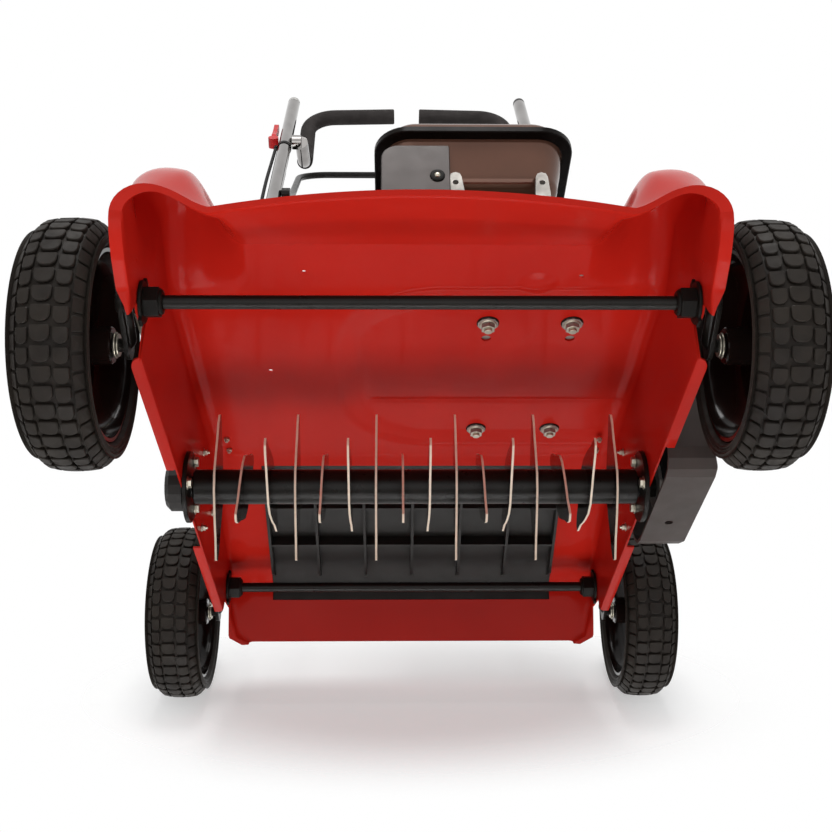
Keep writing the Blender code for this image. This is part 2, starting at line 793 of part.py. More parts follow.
def depth_link_rod():
    """Flat bar that turns the front axle with the rear one."""
    front = link_pin(FRONT_AXLE)
    rear = link_pin(REAR_AXLE)
    half = LINK_BAR_WIDTH / 2
    outline = arc(rear, half, -90, 90, 4) + arc(front, half, 90, 270, 4)
    centre = -(LINK_PLATE_X + LINK_PLATE + GAP + LINK_BAR / 2)
    bar = plate("depth_link_rod", [outline], "YZ", centre, LINK_BAR)
    holes = [((centre, y, z), clear_of(LINK_PIN_RADIUS, 8), 0.02) for y, z in (front, rear)]
    boolean(bar, rods("link_holes", holes, "X", 8))
    return as_part(bar, "zinc")


def depth_lever():
    """Grip on the rear axle's lever plate."""
    along = (math.cos(LINK_ANGLE), math.sin(LINK_ANGLE))
    start = DEPTH_LEVER_LENGTH + 0.008 + GAP
    profile = [(0.0, start + 0.075), (0.010, start + 0.072), (0.014, start + 0.060), (0.013, start + 0.030),
               (0.0095, start + 0.006), (0.009, start), (0.0, start)]
    x = -(LINK_PLATE_X + LINK_PLATE / 2)
    obj = turned("depth_lever_grip", profile, (0.0, 0.0, 0.0), "Z", 10)
    turn = Vector((0.0, along[0], along[1])).to_track_quat("Z", "X").to_matrix().to_4x4()
    obj.matrix_world = Matrix.Translation((x, station(REAR_AXLE), AXLE_Z)) @ turn
    return as_part(obj, "lever_red")


def depth_quadrant():
    """Notched plate on the left wall that holds the depth lever's setting."""
    centre = (station(REAR_AXLE), AXLE_Z)
    outer = QUADRANT_RADIUS
    inner = QUADRANT_RADIUS - 0.060
    outline = []
    notches = 5
    for i in range(notches):
        middle = 74.0 + 11.0 * i
        for offset, radius in ((-4.0, outer), (-1.8, outer), (-1.2, outer - 0.008), (1.2, outer - 0.008),
                               (1.8, outer), (4.0, outer)):
            outline += arc(centre, radius, middle + offset, middle + offset, 1)[:1]
    outline += arc(centre, inner, 132.0, 66.0, 6)
    x = -(DECK_HALF_WIDTH + GAP + QUADRANT_PLATE / 2)
    return as_part(plate("depth_quadrant", [outline], "YZ", x, QUADRANT_PLATE), "zinc")


HUB_OUTER = 0.0385


def tyre(name, side, place):
    """Tyre with rows of tread blocks, each row half a block round from the next."""
    outer = WHEEL_RADIUS
    width = WHEEL_WIDTH
    bead = WHEEL_RADIUS - TYRE_WALL
    steps = TREAD_BLOCKS * 2
    bm = bmesh.new()
    rings = []
    for i in range(steps):
        angle = 2.0 * math.pi * i / steps
        left = outer - TREAD_DEPTH * (i % 2)
        right = outer - TREAD_DEPTH * ((i + 1) % 2)
        ring = [(bead, 0.003), (outer - 0.011, 0.0), (left, 0.009), (right, width - 0.009), (outer - 0.011, width), (bead, width - 0.003)]
        rings.append([bm.verts.new((side * (WHEEL_INNER_X + height), station(place) + radius * math.cos(angle),
                                    WHEEL_RADIUS + radius * math.sin(angle))) for radius, height in ring])
    count = len(rings[0])
    for i in range(steps):
        here = rings[i]
        there = rings[(i + 1) % steps]
        for j in range(count):
            k = (j + 1) % count
            bm.faces.new((here[j], here[k], there[k], there[j]))
    face_outwards(bm)
    return as_part(add_mesh(name, bm, PARTS), "rubber")


def rim(name, side, place):
    """Dished plastic rim: hub, cone-shaped disc towards the outer face, and barrel."""
    outer = WHEEL_RADIUS - TYRE_WALL - GAP
    inner = outer - RIM_BARREL
    bore = clear_of(AXLE_RADIUS, TREAD_BLOCKS)
    hub = RIM_HUB_RADIUS
    top = WHEEL_WIDTH - 0.003
    profile = [(bore, HUB_OUTER), (hub, HUB_OUTER), (hub + 0.003, 0.034), (inner, 0.040), (inner, top),
               (outer, top), (outer, 0.003), (inner, 0.012), (hub + 0.003, 0.029), (hub, 0.0), (bore, 0.0)]
    if side < 0:
        profile = [(radius, -height) for radius, height in reversed(profile)]
    place_x = side * WHEEL_INNER_X
    obj = turned(name, profile, (place_x, station(place), WHEEL_RADIUS), "X", TREAD_BLOCKS, closed=True)
    return as_part(obj, "rim_black")


# Rotor

def knife_outline(turn):
    """Double-ended knife: round eye on the tube, two hooked arms that narrow to blunt tips."""
    swing = KNIFE_SWING
    waist = KNIFE_WAIST
    arm = [(swing, -0.0035), (swing - 0.001, 0.0045), (0.044, 0.0155), (0.010, waist - 0.002)]
    back = [(-0.036, 0.0165)]
    half = arm + back
    points = half + [(-u, -v) for u, v in half]
    cos, sin = math.cos(turn), math.sin(turn)
    return [(u * cos - v * sin, u * sin + v * cos) for u, v in points]


def knife_rotor():
    """Tube with shaft ends and sixteen knives on it, each a step further round than the last."""
    end = ROTOR_HALF_LENGTH
    right = PULLEY_X + PULLEY_WIDTH
    left = -(DECK_HALF_WIDTH + 0.010)
    profile = [(0.0, right), (SHAFT_RADIUS, right), (SHAFT_RADIUS, end), (ROTOR_TUBE_RADIUS - 0.002, end),
               (ROTOR_TUBE_RADIUS, end - 0.002), (ROTOR_TUBE_RADIUS, 0.002 - end),
               (ROTOR_TUBE_RADIUS - 0.002, -end), (SHAFT_RADIUS, -end), (SHAFT_RADIUS, left), (0.0, left)]
    rotor = turned("knife_rotor", profile, (0.0, station(ROTOR_STATION), ROTOR_Z), "X", 12)
    first_x = -KNIFE_PITCH * (KNIFE_COUNT - 1) / 2
    bm = bmesh.new()
    for i in range(KNIFE_COUNT):
        turn = KNIFE_FIRST - KNIFE_STEP * i
        outline = [(station(ROTOR_STATION) + u, ROTOR_Z + v) for u, v in knife_outline(turn)]
        knife = plate("knife", [outline], "YZ", first_x + KNIFE_PITCH * i, KNIFE_PLATE)
        bm.from_mesh(knife.data)
        bpy.data.objects.remove(knife, do_unlink=True)
    return as_part(boolean(rotor, add_mesh("knives", bm, PARTS), "UNION"), "zinc")


# Drive

def pulley(name, place, z):
    low = PULLEY_X + GAP
    high = PULLEY_X + PULLEY_WIDTH
    lip = (PULLEY_WIDTH - BELT_WIDTH) / 2 - 0.0008
    root = PULLEY_RADIUS - PULLEY_GROOVE - 0.001
    profile = [(SHAFT_RADIUS + GAP, high), (PULLEY_RADIUS, high), (PULLEY_RADIUS, high - lip), (root, high - lip),
               (root, low + lip), (PULLEY_RADIUS, low + lip), (PULLEY_RADIUS, low), (SHAFT_RADIUS + GAP, low)]
    obj = turned(name, profile, (0.0, station(place), z), "X", 14, closed=True)
    return as_part(obj, "cast_aluminium")


def drive_belt():
    """Closed belt round both pulleys."""
    rotor = Vector((station(ROTOR_STATION), ROTOR_Z))
    engine = Vector((station(ENGINE_SHAFT_STATION), ENGINE_SHAFT_Z))
    tilt = math.degrees(math.atan2(engine.y - rotor.y, engine.x - rotor.x))
    loops = []
    for radius in (PULLEY_RADIUS - PULLEY_GROOVE + BELT_DEPTH, PULLEY_RADIUS - PULLEY_GROOVE - 0.0004):
        loops.append(arc(engine, radius, tilt - 90, tilt + 90, 10) + arc(rotor, radius, tilt + 90, tilt + 270, 10))
    centre = PULLEY_X + PULLEY_WIDTH / 2 + GAP / 2
    return as_part(plate("drive_belt", loops, "YZ", centre, BELT_WIDTH), "rubber")


def cover_block(name, inset):
    """Belt cover's body, drawn in by an inset: side outline crossed with plan outline."""
    front = station(COVER_FRONT) + inset
    rear = station(COVER_REAR) - inset
    low = COVER_Z + inset
    engine = (station(ENGINE_SHAFT_STATION), ENGINE_SHAFT_Z)
    top = COVER_TOP_RADIUS - inset
    side = arc((rear - 0.03, low + 0.03), 0.03, -90, 0, 3)
    side += [(rear, ROTOR_Z + 0.060)]
    side += arc(engine, top, 20, 160, 8)
    side += [(front, ROTOR_Z + 0.060)]
    side += arc((front + 0.02, low + 0.02), 0.02, 180, 270, 3)
    start = COVER_X - (0.004 if inset else 0.0)
    outer = COVER_OUTER_X - inset
    body = plate(name, [side], "YZ", (start + outer) / 2, outer - start)
    plan = [(start - 0.001, front - 0.001)]
    plan += arc((outer - 0.008, front + 0.008), 0.008, -90, 0, 2)
    plan += arc((outer - 0.026, rear - 0.026), 0.026, 0, 90, 4)
    plan += [(start - 0.001, rear + 0.0001)]
    trimmer = plate(name + "_plan", [plan], "XY", ENGINE_SHAFT_Z, 2 * ENGINE_SHAFT_Z)
    return boolean(body, trimmer, "INTERSECT")


def belt_cover():
    """Moulded cover over the belt, open towards the deck wall."""
    cover = cover_block("belt_cover", 0.0)
    boolean(cover, cover_block("belt_cover_inside", COVER_WALL))
    hole = rods("cover_hole", [((COVER_X + 0.0205, station(COVER_REAR - 0.071), COVER_Z), 0.004, 0.02)], "Z", 12)
    boolean(cover, hole)
    return as_part(cover, "cover_grey")


# Engine

def foot_bolts():
    """Four bolts from below: shank through the deck, washer and head under it."""
    shanks = []
    washers = []
    heads = []
    under = CEILING_Z + PLATFORM_RISE - SHEET - GAP
    top = CEILING_Z + PLATFORM_RISE + FOOT_THICK / 2
    for x, place in engine_bolt_places():
        y = station(place)
        head_low = under - BOLT_HEAD
        shanks.append(((x, y, (head_low + 0.001 + top) / 2), BOLT_RADIUS, top - head_low - 0.001))
        washers.append(((x, y, under - 0.001), WASHER_RADIUS, 0.002))
        heads.append(((x, y, under - (BOLT_HEAD + 0.001) / 2), 0.7 * WASHER_RADIUS, BOLT_HEAD - 0.001))
    return (rods("bolt_shanks", shanks, "Z", 8), rods("bolt_washers", washers, "Z", 10),
            rods("bolt_heads", heads, "Z", 6))


def crankcase():
    """Cast crankcase with feet, shaft cover and the slanted seat of the cylinder."""
    base = CEILING_Z + PLATFORM_RISE + GAP
    left = ENGINE_X - CRANKCASE_HALF_X
    right = ENGINE_X + CRANKCASE_HALF_X
    body = block("crankcase", (left, station(CRANKCASE_FRONT), base + 0.004),
                 (right, station(CRANKCASE_REAR), CRANKCASE_TOP))
    bevel(body, 0.012, 1)
    middle = station(BOLT_STATION)
    feet = block("crankcase_feet", (left + 0.004, middle - FOOT_HALF_LENGTH, base),
                 (right - 0.004, middle + FOOT_HALF_LENGTH, base + FOOT_THICK))
    boolean(body, feet, "UNION")
    shaft = (right, station(ENGINE_SHAFT_STATION), ENGINE_SHAFT_Z)
    boolean(body, rods("shaft_cover", [(shaft, 0.048, 0.010)], "X", 12), "UNION")
    seat_start = cylinder_point(-0.055)
    boolean(body, rod_between("cylinder_seat", seat_start, cylinder_point(-GAP), CYLINDER_RADIUS, 14), "UNION")
    boolean(body, rods("shaft_bore", [(shaft, clear_of(SHAFT_RADIUS, 12), 0.060)], "X", 12))
    low, high = CRANKCASE_TOP - 0.004, TANK_BOTTOM_Z - GAP
    posts = []
    for x in TANK_POST_X:
        posts.append(((x, station(TANK_POST_STATION), (low + high) / 2), TANK_POST_RADIUS, high - low))
    boolean(body, rods("tank_posts", posts, "Z", 8), "UNION")
    for bolt_piece in foot_bolts():
        boolean(body, bolt_piece, "UNION")
    return as_part(body, "cast_aluminium")


CYLINDER_STATION = 0.300
CYLINDER_Z = 0.330


def cylinder_point(distance, off_x=0.0, off_up=0.0):
    """Place on the cylinder's slanted axis, with offsets across it."""
    cos, sin = math.cos(CYLINDER_TILT), math.sin(CYLINDER_TILT)
    return (ENGINE_X + off_x, station(CYLINDER_STATION) + distance * cos - off_up * sin,
            CYLINDER_Z + distance * sin + off_up * cos)


def slanted(obj, place):
    """Lay a piece built along +Z on the cylinder's axis."""
    direction = Vector((0.0, math.cos(CYLINDER_TILT), math.sin(CYLINDER_TILT)))
    turn = Matrix.Rotation(CYLINDER_TILT - math.radians(90.0), 4, "X")
    assert (turn @ Vector((0.0, 0.0, 1.0)) - direction).length < 1e-5
    obj.matrix_world = Matrix.Translation(place) @ turn
    return obj


def cylinder():
    """Cylinder barrel and head with cooling fins."""
    profile = [(0.0, FIN_COUNT * FIN_PITCH + 0.008), (CYLINDER_RADIUS, FIN_COUNT * FIN_PITCH + 0.008)]
    for i in reversed(range(FIN_COUNT)):
        foot = 0.004 + i * FIN_PITCH
        profile += [(CYLINDER_RADIUS, foot + 0.004), (FIN_RADIUS, foot + 0.004), (FIN_RADIUS, foot),
                    (CYLINDER_RADIUS, foot)]
    profile += [(CYLINDER_RADIUS, 0.0), (0.0, 0.0)]
    obj = turned("cylinder", profile, (0.0, 0.0, 0.0), "Z", 14)
    return as_part(slanted(obj, cylinder_point(0.0)), "cast_aluminium")


HEAD_END = FIN_COUNT * FIN_PITCH + 0.008


def valve_cover():
    bm = bmesh.new()
    low = HEAD_END + GAP
    bmesh.ops.create_cube(bm, size=1.0, matrix=Matrix.Translation((0.0, 0.0, low + 0.012))
                          @ Matrix.Diagonal((0.078, 0.062, 0.024, 1.0)))
    obj = slanted(add_mesh("valve_cover", bm, PARTS), cylinder_point(0.0))
    bevel(obj, 0.008, 2)
    return as_part(obj, "cast_aluminium")


MUFFLER_LOW = (0.083, 0.347, 0.432)
MUFFLER_HIGH = (0.168, 0.407, 0.500)
GUARD_WALL = 0.0012
GUARD_GAP = 0.005


def muffler():
    low = (MUFFLER_LOW[0], station(MUFFLER_LOW[1]), MUFFLER_LOW[2])
    high = (MUFFLER_HIGH[0], station(MUFFLER_HIGH[1]), MUFFLER_HIGH[2])
    body = bevel(block("muffler", low, high), 0.012, 2)
    pipe = rod_between("exhaust_pipe", (0.115, station(0.375), MUFFLER_LOW[2] + 0.01),
                       cylinder_point(0.062, 0.010, FIN_RADIUS + 0.001), 0.011, 10)
    boolean(body, pipe, "UNION")
    rest = MUFFLER_HIGH[2] + GUARD_GAP - GUARD_WALL - GAP
    spacers = []
    for x in (0.3, 0.7):
        middle = MUFFLER_LOW[0] + x * (MUFFLER_HIGH[0] - MUFFLER_LOW[0])
        spacers.append(((middle - 0.005, station(MUFFLER_LOW[1]) + 0.020, MUFFLER_HIGH[2] - 0.002),
                        (middle + 0.005, station(MUFFLER_LOW[1]) + 0.034, rest)))
    return as_part(boolean(body, blocks("guard_spacers", spacers), "UNION"), "muffler_steel")


def muffler_guard():
    """Sheet guard over the top and back of the muffler, with slots."""
    gap = GUARD_GAP
    wall = GUARD_WALL
    low = (MUFFLER_LOW[0] - gap, station(MUFFLER_LOW[1]) - gap, MUFFLER_LOW[2] + 0.006)
    high = (MUFFLER_HIGH[0] + gap, station(MUFFLER_HIGH[1]) + gap, MUFFLER_HIGH[2] + gap)
    guard = bevel(block("muffler_guard", low, high), 0.008, 1)
    inner = bevel(block("guard_inside", (low[0] + wall, low[1] + wall, low[2] - 0.02),
                        (high[0] - wall, high[1] - wall, high[2] - wall)), 0.007, 1)
    boolean(guard, inner)
    slots = []
    for i in range(4):
        z = low[2] + 0.014 + 0.012 * i
        slots.append(((low[0] + 0.014, high[1] - 0.006, z), (high[0] - 0.014, high[1] + 0.006, z + 0.005)))
    boolean(guard, blocks("guard_slots", slots))
    return as_part(guard, "black_paint")


def blower_housing():
    """Fan shroud on the left of the engine with the recoil starter's slotted cover."""
    near = ENGINE_X - CRANKCASE_HALF_X - GAP
    wall = 0.0025
    shoulder = near - BLOWER_DEPTH
    end = shoulder - STARTER_DEPTH
    profile = [(0.0, end + wall), (STARTER_RADIUS - 0.009, end + wall), (STARTER_RADIUS - wall, end + 0.009),
               (STARTER_RADIUS - wall, shoulder + wall), (BLOWER_RADIUS - 0.011, shoulder + wall),
               (BLOWER_RADIUS - wall, shoulder + 0.011), (BLOWER_RADIUS - wall, near), (BLOWER_RADIUS, near),
               (BLOWER_RADIUS, shoulder + 0.010), (BLOWER_RADIUS - 0.010, shoulder), (STARTER_RADIUS, shoulder),
               (STARTER_RADIUS, end + 0.008), (STARTER_RADIUS - 0.008, end), (0.0, end)]
    centre_z = ENGINE_SHAFT_Z - BLOWER_DROP
    obj = turned("blower_housing", profile, (0.0, station(ENGINE_SHAFT_STATION), centre_z), "X", 18)
    bm = bmesh.new()
    for i in range(8):
        angle = 2.0 * math.pi * i / 8
        placed = (Matrix.Translation((end, station(ENGINE_SHAFT_STATION), centre_z))
                  @ Matrix.Rotation(angle, 4, "X") @ Matrix.Translation((0.0, 0.0, 0.038))
                  @ Matrix.Diagonal((0.016, 0.007, 0.028, 1.0)))
        bmesh.ops.create_cube(bm, size=1.0, matrix=placed)
    boolean(obj, add_mesh("starter_slots", bm, PARTS))
    return as_part(obj, "black_plastic")


def starter_exit():
    """Place where the starter rope leaves the cover, on its round side."""
    shoulder = ENGINE_X - CRANKCASE_HALF_X - GAP - BLOWER_DEPTH
    return Vector((shoulder - STARTER_DEPTH / 2,
                   station(ENGINE_SHAFT_STATION) + STARTER_RADIUS * math.cos(STARTER_ANGLE),
                   ENGINE_SHAFT_Z - BLOWER_DROP + STARTER_RADIUS * math.sin(STARTER_ANGLE)))


def starter_grip():
    """T-shaped pull of the recoil starter."""
    pull = Vector(STARTER_PULL).normalized()
    across = (Vector((0.0, 1.0, 0.0)) - pull * pull.y).normalized()
    foot = starter_exit() + pull * 0.006
    centre = foot + pull * 0.020
    bar = rod_between("starter_grip", centre - across * 0.036, centre + across * 0.036, 0.009, 10)
    stem = rod_between("starter_stem", foot, centre, 0.0055, 8)
    return as_part(boolean(bevel(bar, 0.003, 1, 60.0), stem, "UNION"), "black_plastic")


def front_shroud():
    """Grey sheet in front of the left end of the tank."""
    rest = ENGINE_SHAFT_Z - BLOWER_DROP + BLOWER_RADIUS + GAP
    front, back = station(SHROUD_STATION), station(SHROUD_STATION + SHROUD_SHEET)
    sheet = block("front_shroud", (TANK_X - TANK_HALF_X + 0.006, front, rest),
                  (LUG_X[0] - 0.008, back, TANK_SEAM_Z - 0.008))
    foot = block("shroud_foot", (-0.014, back - 0.001, rest + 0.0002), (0.030, station(SHROUD_STATION + 0.0455), rest + 0.003))
    return as_part(boolean(sheet, foot, "UNION"), "cover_grey")


def tank_bracket():
    """Cast bracket on the crankcase: two upright lugs with holes."""
    front = 0.1790
    thick = 0.009
    base = CRANKCASE_TOP + GAP
    left = ENGINE_X - CRANKCASE_HALF_X + 0.002
    shelf = ENGINE_SHAFT_Z - BLOWER_DROP + BLOWER_RADIUS
    outline = [(left, base), (LUG_X[1] + 0.010, base), (LUG_X[1] + 0.010, base + 0.010)]
    outline += arc((LUG_X[1], TANK_BOTTOM_Z + 0.004), 0.0065, 0, 180, 4)
    outline += [(LUG_X[1] - 0.010, base + 0.012), (LUG_X[0] + 0.014, base + 0.012)]
    outline += arc((LUG_X[0], TANK_BOTTOM_Z + 0.004), 0.0065, 0, 180, 4)
    outline += [(LUG_X[0] - 0.0065, shelf + 0.006), (left, shelf - 0.002)]
    holes = [arc((x, TANK_BOTTOM_Z - 0.004), 0.0033, 360, 0, 10)[:-1] for x in LUG_X]
    bracket = plate("tank_bracket", [outline] + holes, "XZ", station(front + thick / 2 - 0.005), thick)
    return as_part(bracket, "cast_aluminium")


def rounded_loft(name, levels):
    """A closed body through rounded rectangles: (z, low corner, high corner, corner radius)."""
    bm = bmesh.new()
    rings = []
    for z, low, high, radius in levels:
        ring = [bm.verts.new((x, y, z)) for x, y in rounded_rectangle(low, high, radius, 2)]
        rings.append(ring)
    count = len(rings[0])
    for lower, upper in zip(rings, rings[1:]):
        for i in range(count):
            k = (i + 1) % count
            bm.faces.new((lower[i], lower[k], upper[k], upper[i]))
    bm.faces.new(list(reversed(rings[0])))
    bm.faces.new(rings[-1])
    bmesh.ops.remove_doubles(bm, verts=bm.verts, dist=0.00001)
    return add_mesh(name, bm, PARTS)


def tank_level(z, inset, radius):
    low = (TANK_X - TANK_HALF_X + inset, station(TANK_FRONT) + inset)
    high = (TANK_X + TANK_HALF_X - inset, station(TANK_REAR) - inset)
    return (z, low, high, radius)


def fuel_tank():
    """Two pressed halves joined at a flat seam flange, with a filler in the top."""
    flange = TANK_FLANGE
    half_seam = 0.0035
    seam = TANK_SEAM_Z
    levels = [tank_level(TANK_BOTTOM_Z, 0.036, 0.022), tank_level(TANK_BOTTOM_Z + 0.004, 0.026, 0.026),
              tank_level(TANK_BOTTOM_Z + 0.014, 0.019, 0.028), tank_level(seam - half_seam - 0.006, flange + 0.002, 0.030),
              tank_level(seam - half_seam, flange, 0.030), tank_level(seam - half_seam, 0.0, 0.038),
              tank_level(seam + half_seam, 0.0, 0.038), tank_level(seam + half_seam, flange, 0.030),
              tank_level(TANK_TOP_Z - 0.012, flange + 0.006, 0.030), tank_level(TANK_TOP_Z - 0.003, flange + 0.014, 0.026),
              tank_level(TANK_TOP_Z, flange + 0.022, 0.022)]
    tank = rounded_loft("fuel_tank", levels)
    wall = TANK_WALL
    hollow = rounded_loft("tank_inside", [
        tank_level(TANK_BOTTOM_Z + wall, 0.038, 0.020), tank_level(TANK_BOTTOM_Z + 0.014, 0.021 + wall, 0.026),
        tank_level(seam - half_seam, flange + wall, 0.028), tank_level(seam + half_seam, flange + wall, 0.028),
        tank_level(TANK_TOP_Z - 0.013, flange + 0.007 + wall, 0.026),
        tank_level(TANK_TOP_Z - wall, flange + 0.026 + wall, 0.020)])
    boolean(tank, hollow)
    filler = rods("filler_bore", [((TANK_X, station(FILLER_STATION), TANK_TOP_Z), clear_of(FILLER_RADIUS, 16), 0.014)], "Z", 16)
    boolean(tank, filler)
    return as_part(tank, "black_paint")


FILLER_STATION = 0.262


def fuel_cap():
    """Round cap with finger ribs and a plug that reaches into the filler."""
    top = 0.024
    profile = [(0.0, top), (0.024, top), (0.029, top - 0.004), (0.030, 0.004), (0.028, GAP), (FILLER_RADIUS, GAP),
               (FILLER_RADIUS, -0.006), (0.0, -0.006)]
    cap = turned("fuel_cap", profile, (TANK_X, station(FILLER_STATION), TANK_TOP_Z), "Z", 14)
    notches = []
    for i in range(8):
        angle = 2.0 * math.pi * (i + 0.5) / 8
        notches.append(((TANK_X + 0.0335 * math.cos(angle), station(FILLER_STATION) + 0.0335 * math.sin(angle),
                         TANK_TOP_Z + 0.016), 0.0055, 0.022))
    boolean(cap, rods("cap_notches", notches, "Z", 6))
    return as_part(cap, "black_plastic")


INTAKE_STATION = 0.375
AIR_BOX_LOW = (-0.070, 0.345, 0.362)
AIR_BOX_HIGH = (0.012, 0.415, 0.462)


def air_cleaner():
    low = (AIR_BOX_LOW[0], station(AIR_BOX_LOW[1]), AIR_BOX_LOW[2])
    high = (AIR_BOX_HIGH[0], station(AIR_BOX_HIGH[1]), AIR_BOX_HIGH[2])
    return as_part(bevel(block("air_cleaner", low, high), 0.014, 2), "black_plastic")


def carburettor():
    """Carburettor between the air cleaner and the cylinder's intake."""
    y = station(INTAKE_STATION)
    z = 0.392
    left = AIR_BOX_HIGH[0] + GAP
    throat = rods("carburettor", [(((left + 0.0585) / 2, y, z), 0.015, 0.0585 - left)], "X", 16)
    bowl = rods("float_bowl", [((0.034, y, z - 0.020), 0.014, 0.022)], "Z", 16)
    return as_part(boolean(throat, bowl, "UNION"), "cast_aluminium")


THROTTLE_X = 0.034
THROTTLE_Z = 0.4075


def throttle_lever():
    """Small lever that turns on the carburettor's top."""
    y = station(INTAKE_STATION)
    outline = arc((THROTTLE_X, y), 0.006, 90, 270, 5)
    outline += [(THROTTLE_X, y - 0.006), (THROTTLE_X + 0.004, y - 0.006), (THROTTLE_X + 0.006, y + 0.036),
                (THROTTLE_X - 0.004, y + 0.036)]
    hinge = rods("throttle_pivot", [((THROTTLE_X, y, THROTTLE_Z + 0.0038), 0.004, 0.007)], "Z", 8)
    lever = plate("throttle_lever", [outline], "XY", THROTTLE_Z + 0.0045, 0.003)
    return as_part(boolean(lever, hinge, "UNION"), "zinc")


def spark_plug_boot():
    """Rubber boot on the spark plug, on top of the cylinder head."""
    start = cylinder_point(HEAD_END - 0.002 - 0.011, -0.020, CYLINDER_RADIUS + 0.012)
    end = cylinder_point(HEAD_END - 0.002 + 0.006, -0.020, CYLINDER_RADIUS + 0.040)
    return as_part(rod_between("spark_plug_boot", start, end, 0.009, 14), "rubber")


# Rear flap

FLAP_AXIS = (0.3635, 0.2095)
FLAP_PLATE = 0.003
FLAP_BARREL = 0.005
SLOPE_ANGLE = math.atan2(SLOPE_END_Z - CEILING_Z, SLOPE_END - SLOPE_START)


def slope_point(along, above):
    """World (y, z) of a place on the sloping rear sheet: along it and above it."""
    cos, sin = math.cos(SLOPE_ANGLE), math.sin(SLOPE_ANGLE)
    return (station(SLOPE_START) + along * cos - above * sin, CEILING_Z + along * sin + above * cos)


def rear_flap():
    """Ribbed plastic flap over the discharge opening, hinged at its front edge."""
    half = OPENING_HALF_WIDTH + 0.014
    low = 0.0012
    high = low + FLAP_PLATE
    axis = (station(FLAP_AXIS[0]), FLAP_AXIS[1])
    length = (SLOPE_END - SLOPE_START) / math.cos(SLOPE_ANGLE)
    knee_low = slope_point(length + 0.004, low)
    knee_high = slope_point(length + 0.007, high)
    hem_low = (knee_low[0] + 0.008, OPENING_SILL_Z - 0.004)
    barrel = []
    for i in range(9):
        turn = math.radians(-40.0 + 290.0 * i / 8)
        barrel.append((axis[0] + FLAP_BARREL * math.cos(turn + SLOPE_ANGLE),
                       axis[1] + FLAP_BARREL * math.sin(turn + SLOPE_ANGLE)))
    outline = barrel + [slope_point(0.004, low), knee_low, hem_low, (hem_low[0] + 0.0032, hem_low[1]), knee_high,
                        slope_point(0.012, high)]
    flap = plate("rear_flap", [outline], "YZ", 0.0, 2 * half)
    rib_half = OPENING_HALF_WIDTH - 0.012
    bm = bmesh.new()
    for i in range(7):
        x = -rib_half + 2.0 * rib_half * i / 6
        rib = plate("flap_rib", [[slope_point(0.024, low + 0.001), slope_point(0.034, -0.014),
                                  slope_point(length - 0.034, -0.014), slope_point(length - 0.012, low + 0.001)]],
                    "YZ", x, 0.003)
        bm.from_mesh(rib.data)
        bpy.data.objects.remove(rib, do_unlink=True)
    boolean(flap, add_mesh("flap_long_ribs", bm, PARTS), "UNION")
    bm = bmesh.new()
    for along in (0.070, 0.130):
        rib = plate("flap_rib", [[slope_point(along, low + 0.0013), slope_point(along, -0.012),
                                  slope_point(along + 0.003, -0.012), slope_point(along + 0.003, low + 0.0013)]],
                    "YZ", 0.0, 2 * rib_half - 0.001)
        bm.from_mesh(rib.data)
        bpy.data.objects.remove(rib, do_unlink=True)
    boolean(flap, add_mesh("flap_cross_ribs", bm, PARTS), "UNION")
    return as_part(flap, "black_plastic")


# Handle

def handle_bracket(name, side):
    """Steel angle that carries the foot of a handle leg."""
    floor = CEILING_Z + (PLATFORM_RISE if side > 0 else 0.0) + GAP
    inner = LEG_X - LEG_RADIUS - 0.0005
    front = station(leg_station(LEG_FOOT_Z) - 0.030)
    rear = front + 0.065
    base = block(name, *sorted_corner((side * (inner - 0.017), front, floor), (side * inner, rear, floor + 0.003)))
    web = plate(name + "_web", [[(front, floor), (rear, floor), (rear, floor + 0.040), (rear - 0.012, floor + BRACKET_HEIGHT),
                                 (front + 0.022, floor + BRACKET_HEIGHT), (front, floor + 0.030)]], "YZ",
                side * (inner - 0.0015), 0.003)
    return as_part(boolean(base, web, "UNION"), "black_paint")


def handle_leg(name, side):
    """Straight round leg from the deck to above the fold."""
    foot = (side * LEG_X, station(leg_station(LEG_FOOT_Z)), LEG_FOOT_Z)
    top = (side * LEG_X, station(leg_station(LEG_TOP_Z)), LEG_TOP_Z)
    return as_part(rod_between(name, foot, top, LEG_RADIUS, 14), "bright_steel")


def leg_plug(name, side):
    """Plastic plug on the open end of a leg."""
    direction = Vector((0.0, LEG_RUN, 1.0)).normalized()
    profile = [(0.0, PLUG_LENGTH), (LEG_RADIUS - 0.002, PLUG_LENGTH), (LEG_RADIUS, PLUG_LENGTH - 0.002),
               (LEG_RADIUS, 0.0), (0.0, 0.0)]
    plug = turned(name, profile, (0.0, 0.0, 0.0), "Z", 10)
    top = Vector((side * LEG_X, station(LEG_TOP_STATION), LEG_TOP_Z)) + direction * GAP
    plug.matrix_world = Matrix.Translation(top) @ direction.to_track_quat("Z", "X").to_matrix().to_4x4()
    return as_part(plug, "black_plastic")


def grip_corners(side):
    """Centre line of an upper bar, from its fold on the leg to its inner end."""
    fold = leg_station(FOLD_Z)
    x = side * GRIP_X
    return [(x, station(fold), FOLD_Z), (x, station(0.662), 0.902), (x, station(0.700), 1.046),
            (side * GRIP_GAP, station(0.700), 1.050)]


def grip_bar(name, side):
    """Upper bar of one side with the round boss that it folds on."""
    path = bent_path(grip_corners(side), 0.045, 3)
    bar = to_mesh(tube(name, path, GRIP_TUBE_RADIUS, 2))
    fold = path[0]
    end = LEG_X - LEG_RADIUS - GAP
    boss = rods(name + "_boss", [((side * (GRIP_X + end) / 2, fold.y, fold.z), 0.011, end - GRIP_X)], "X", 16)
    return as_part(boolean(bar, boss, "UNION"), "bright_steel")


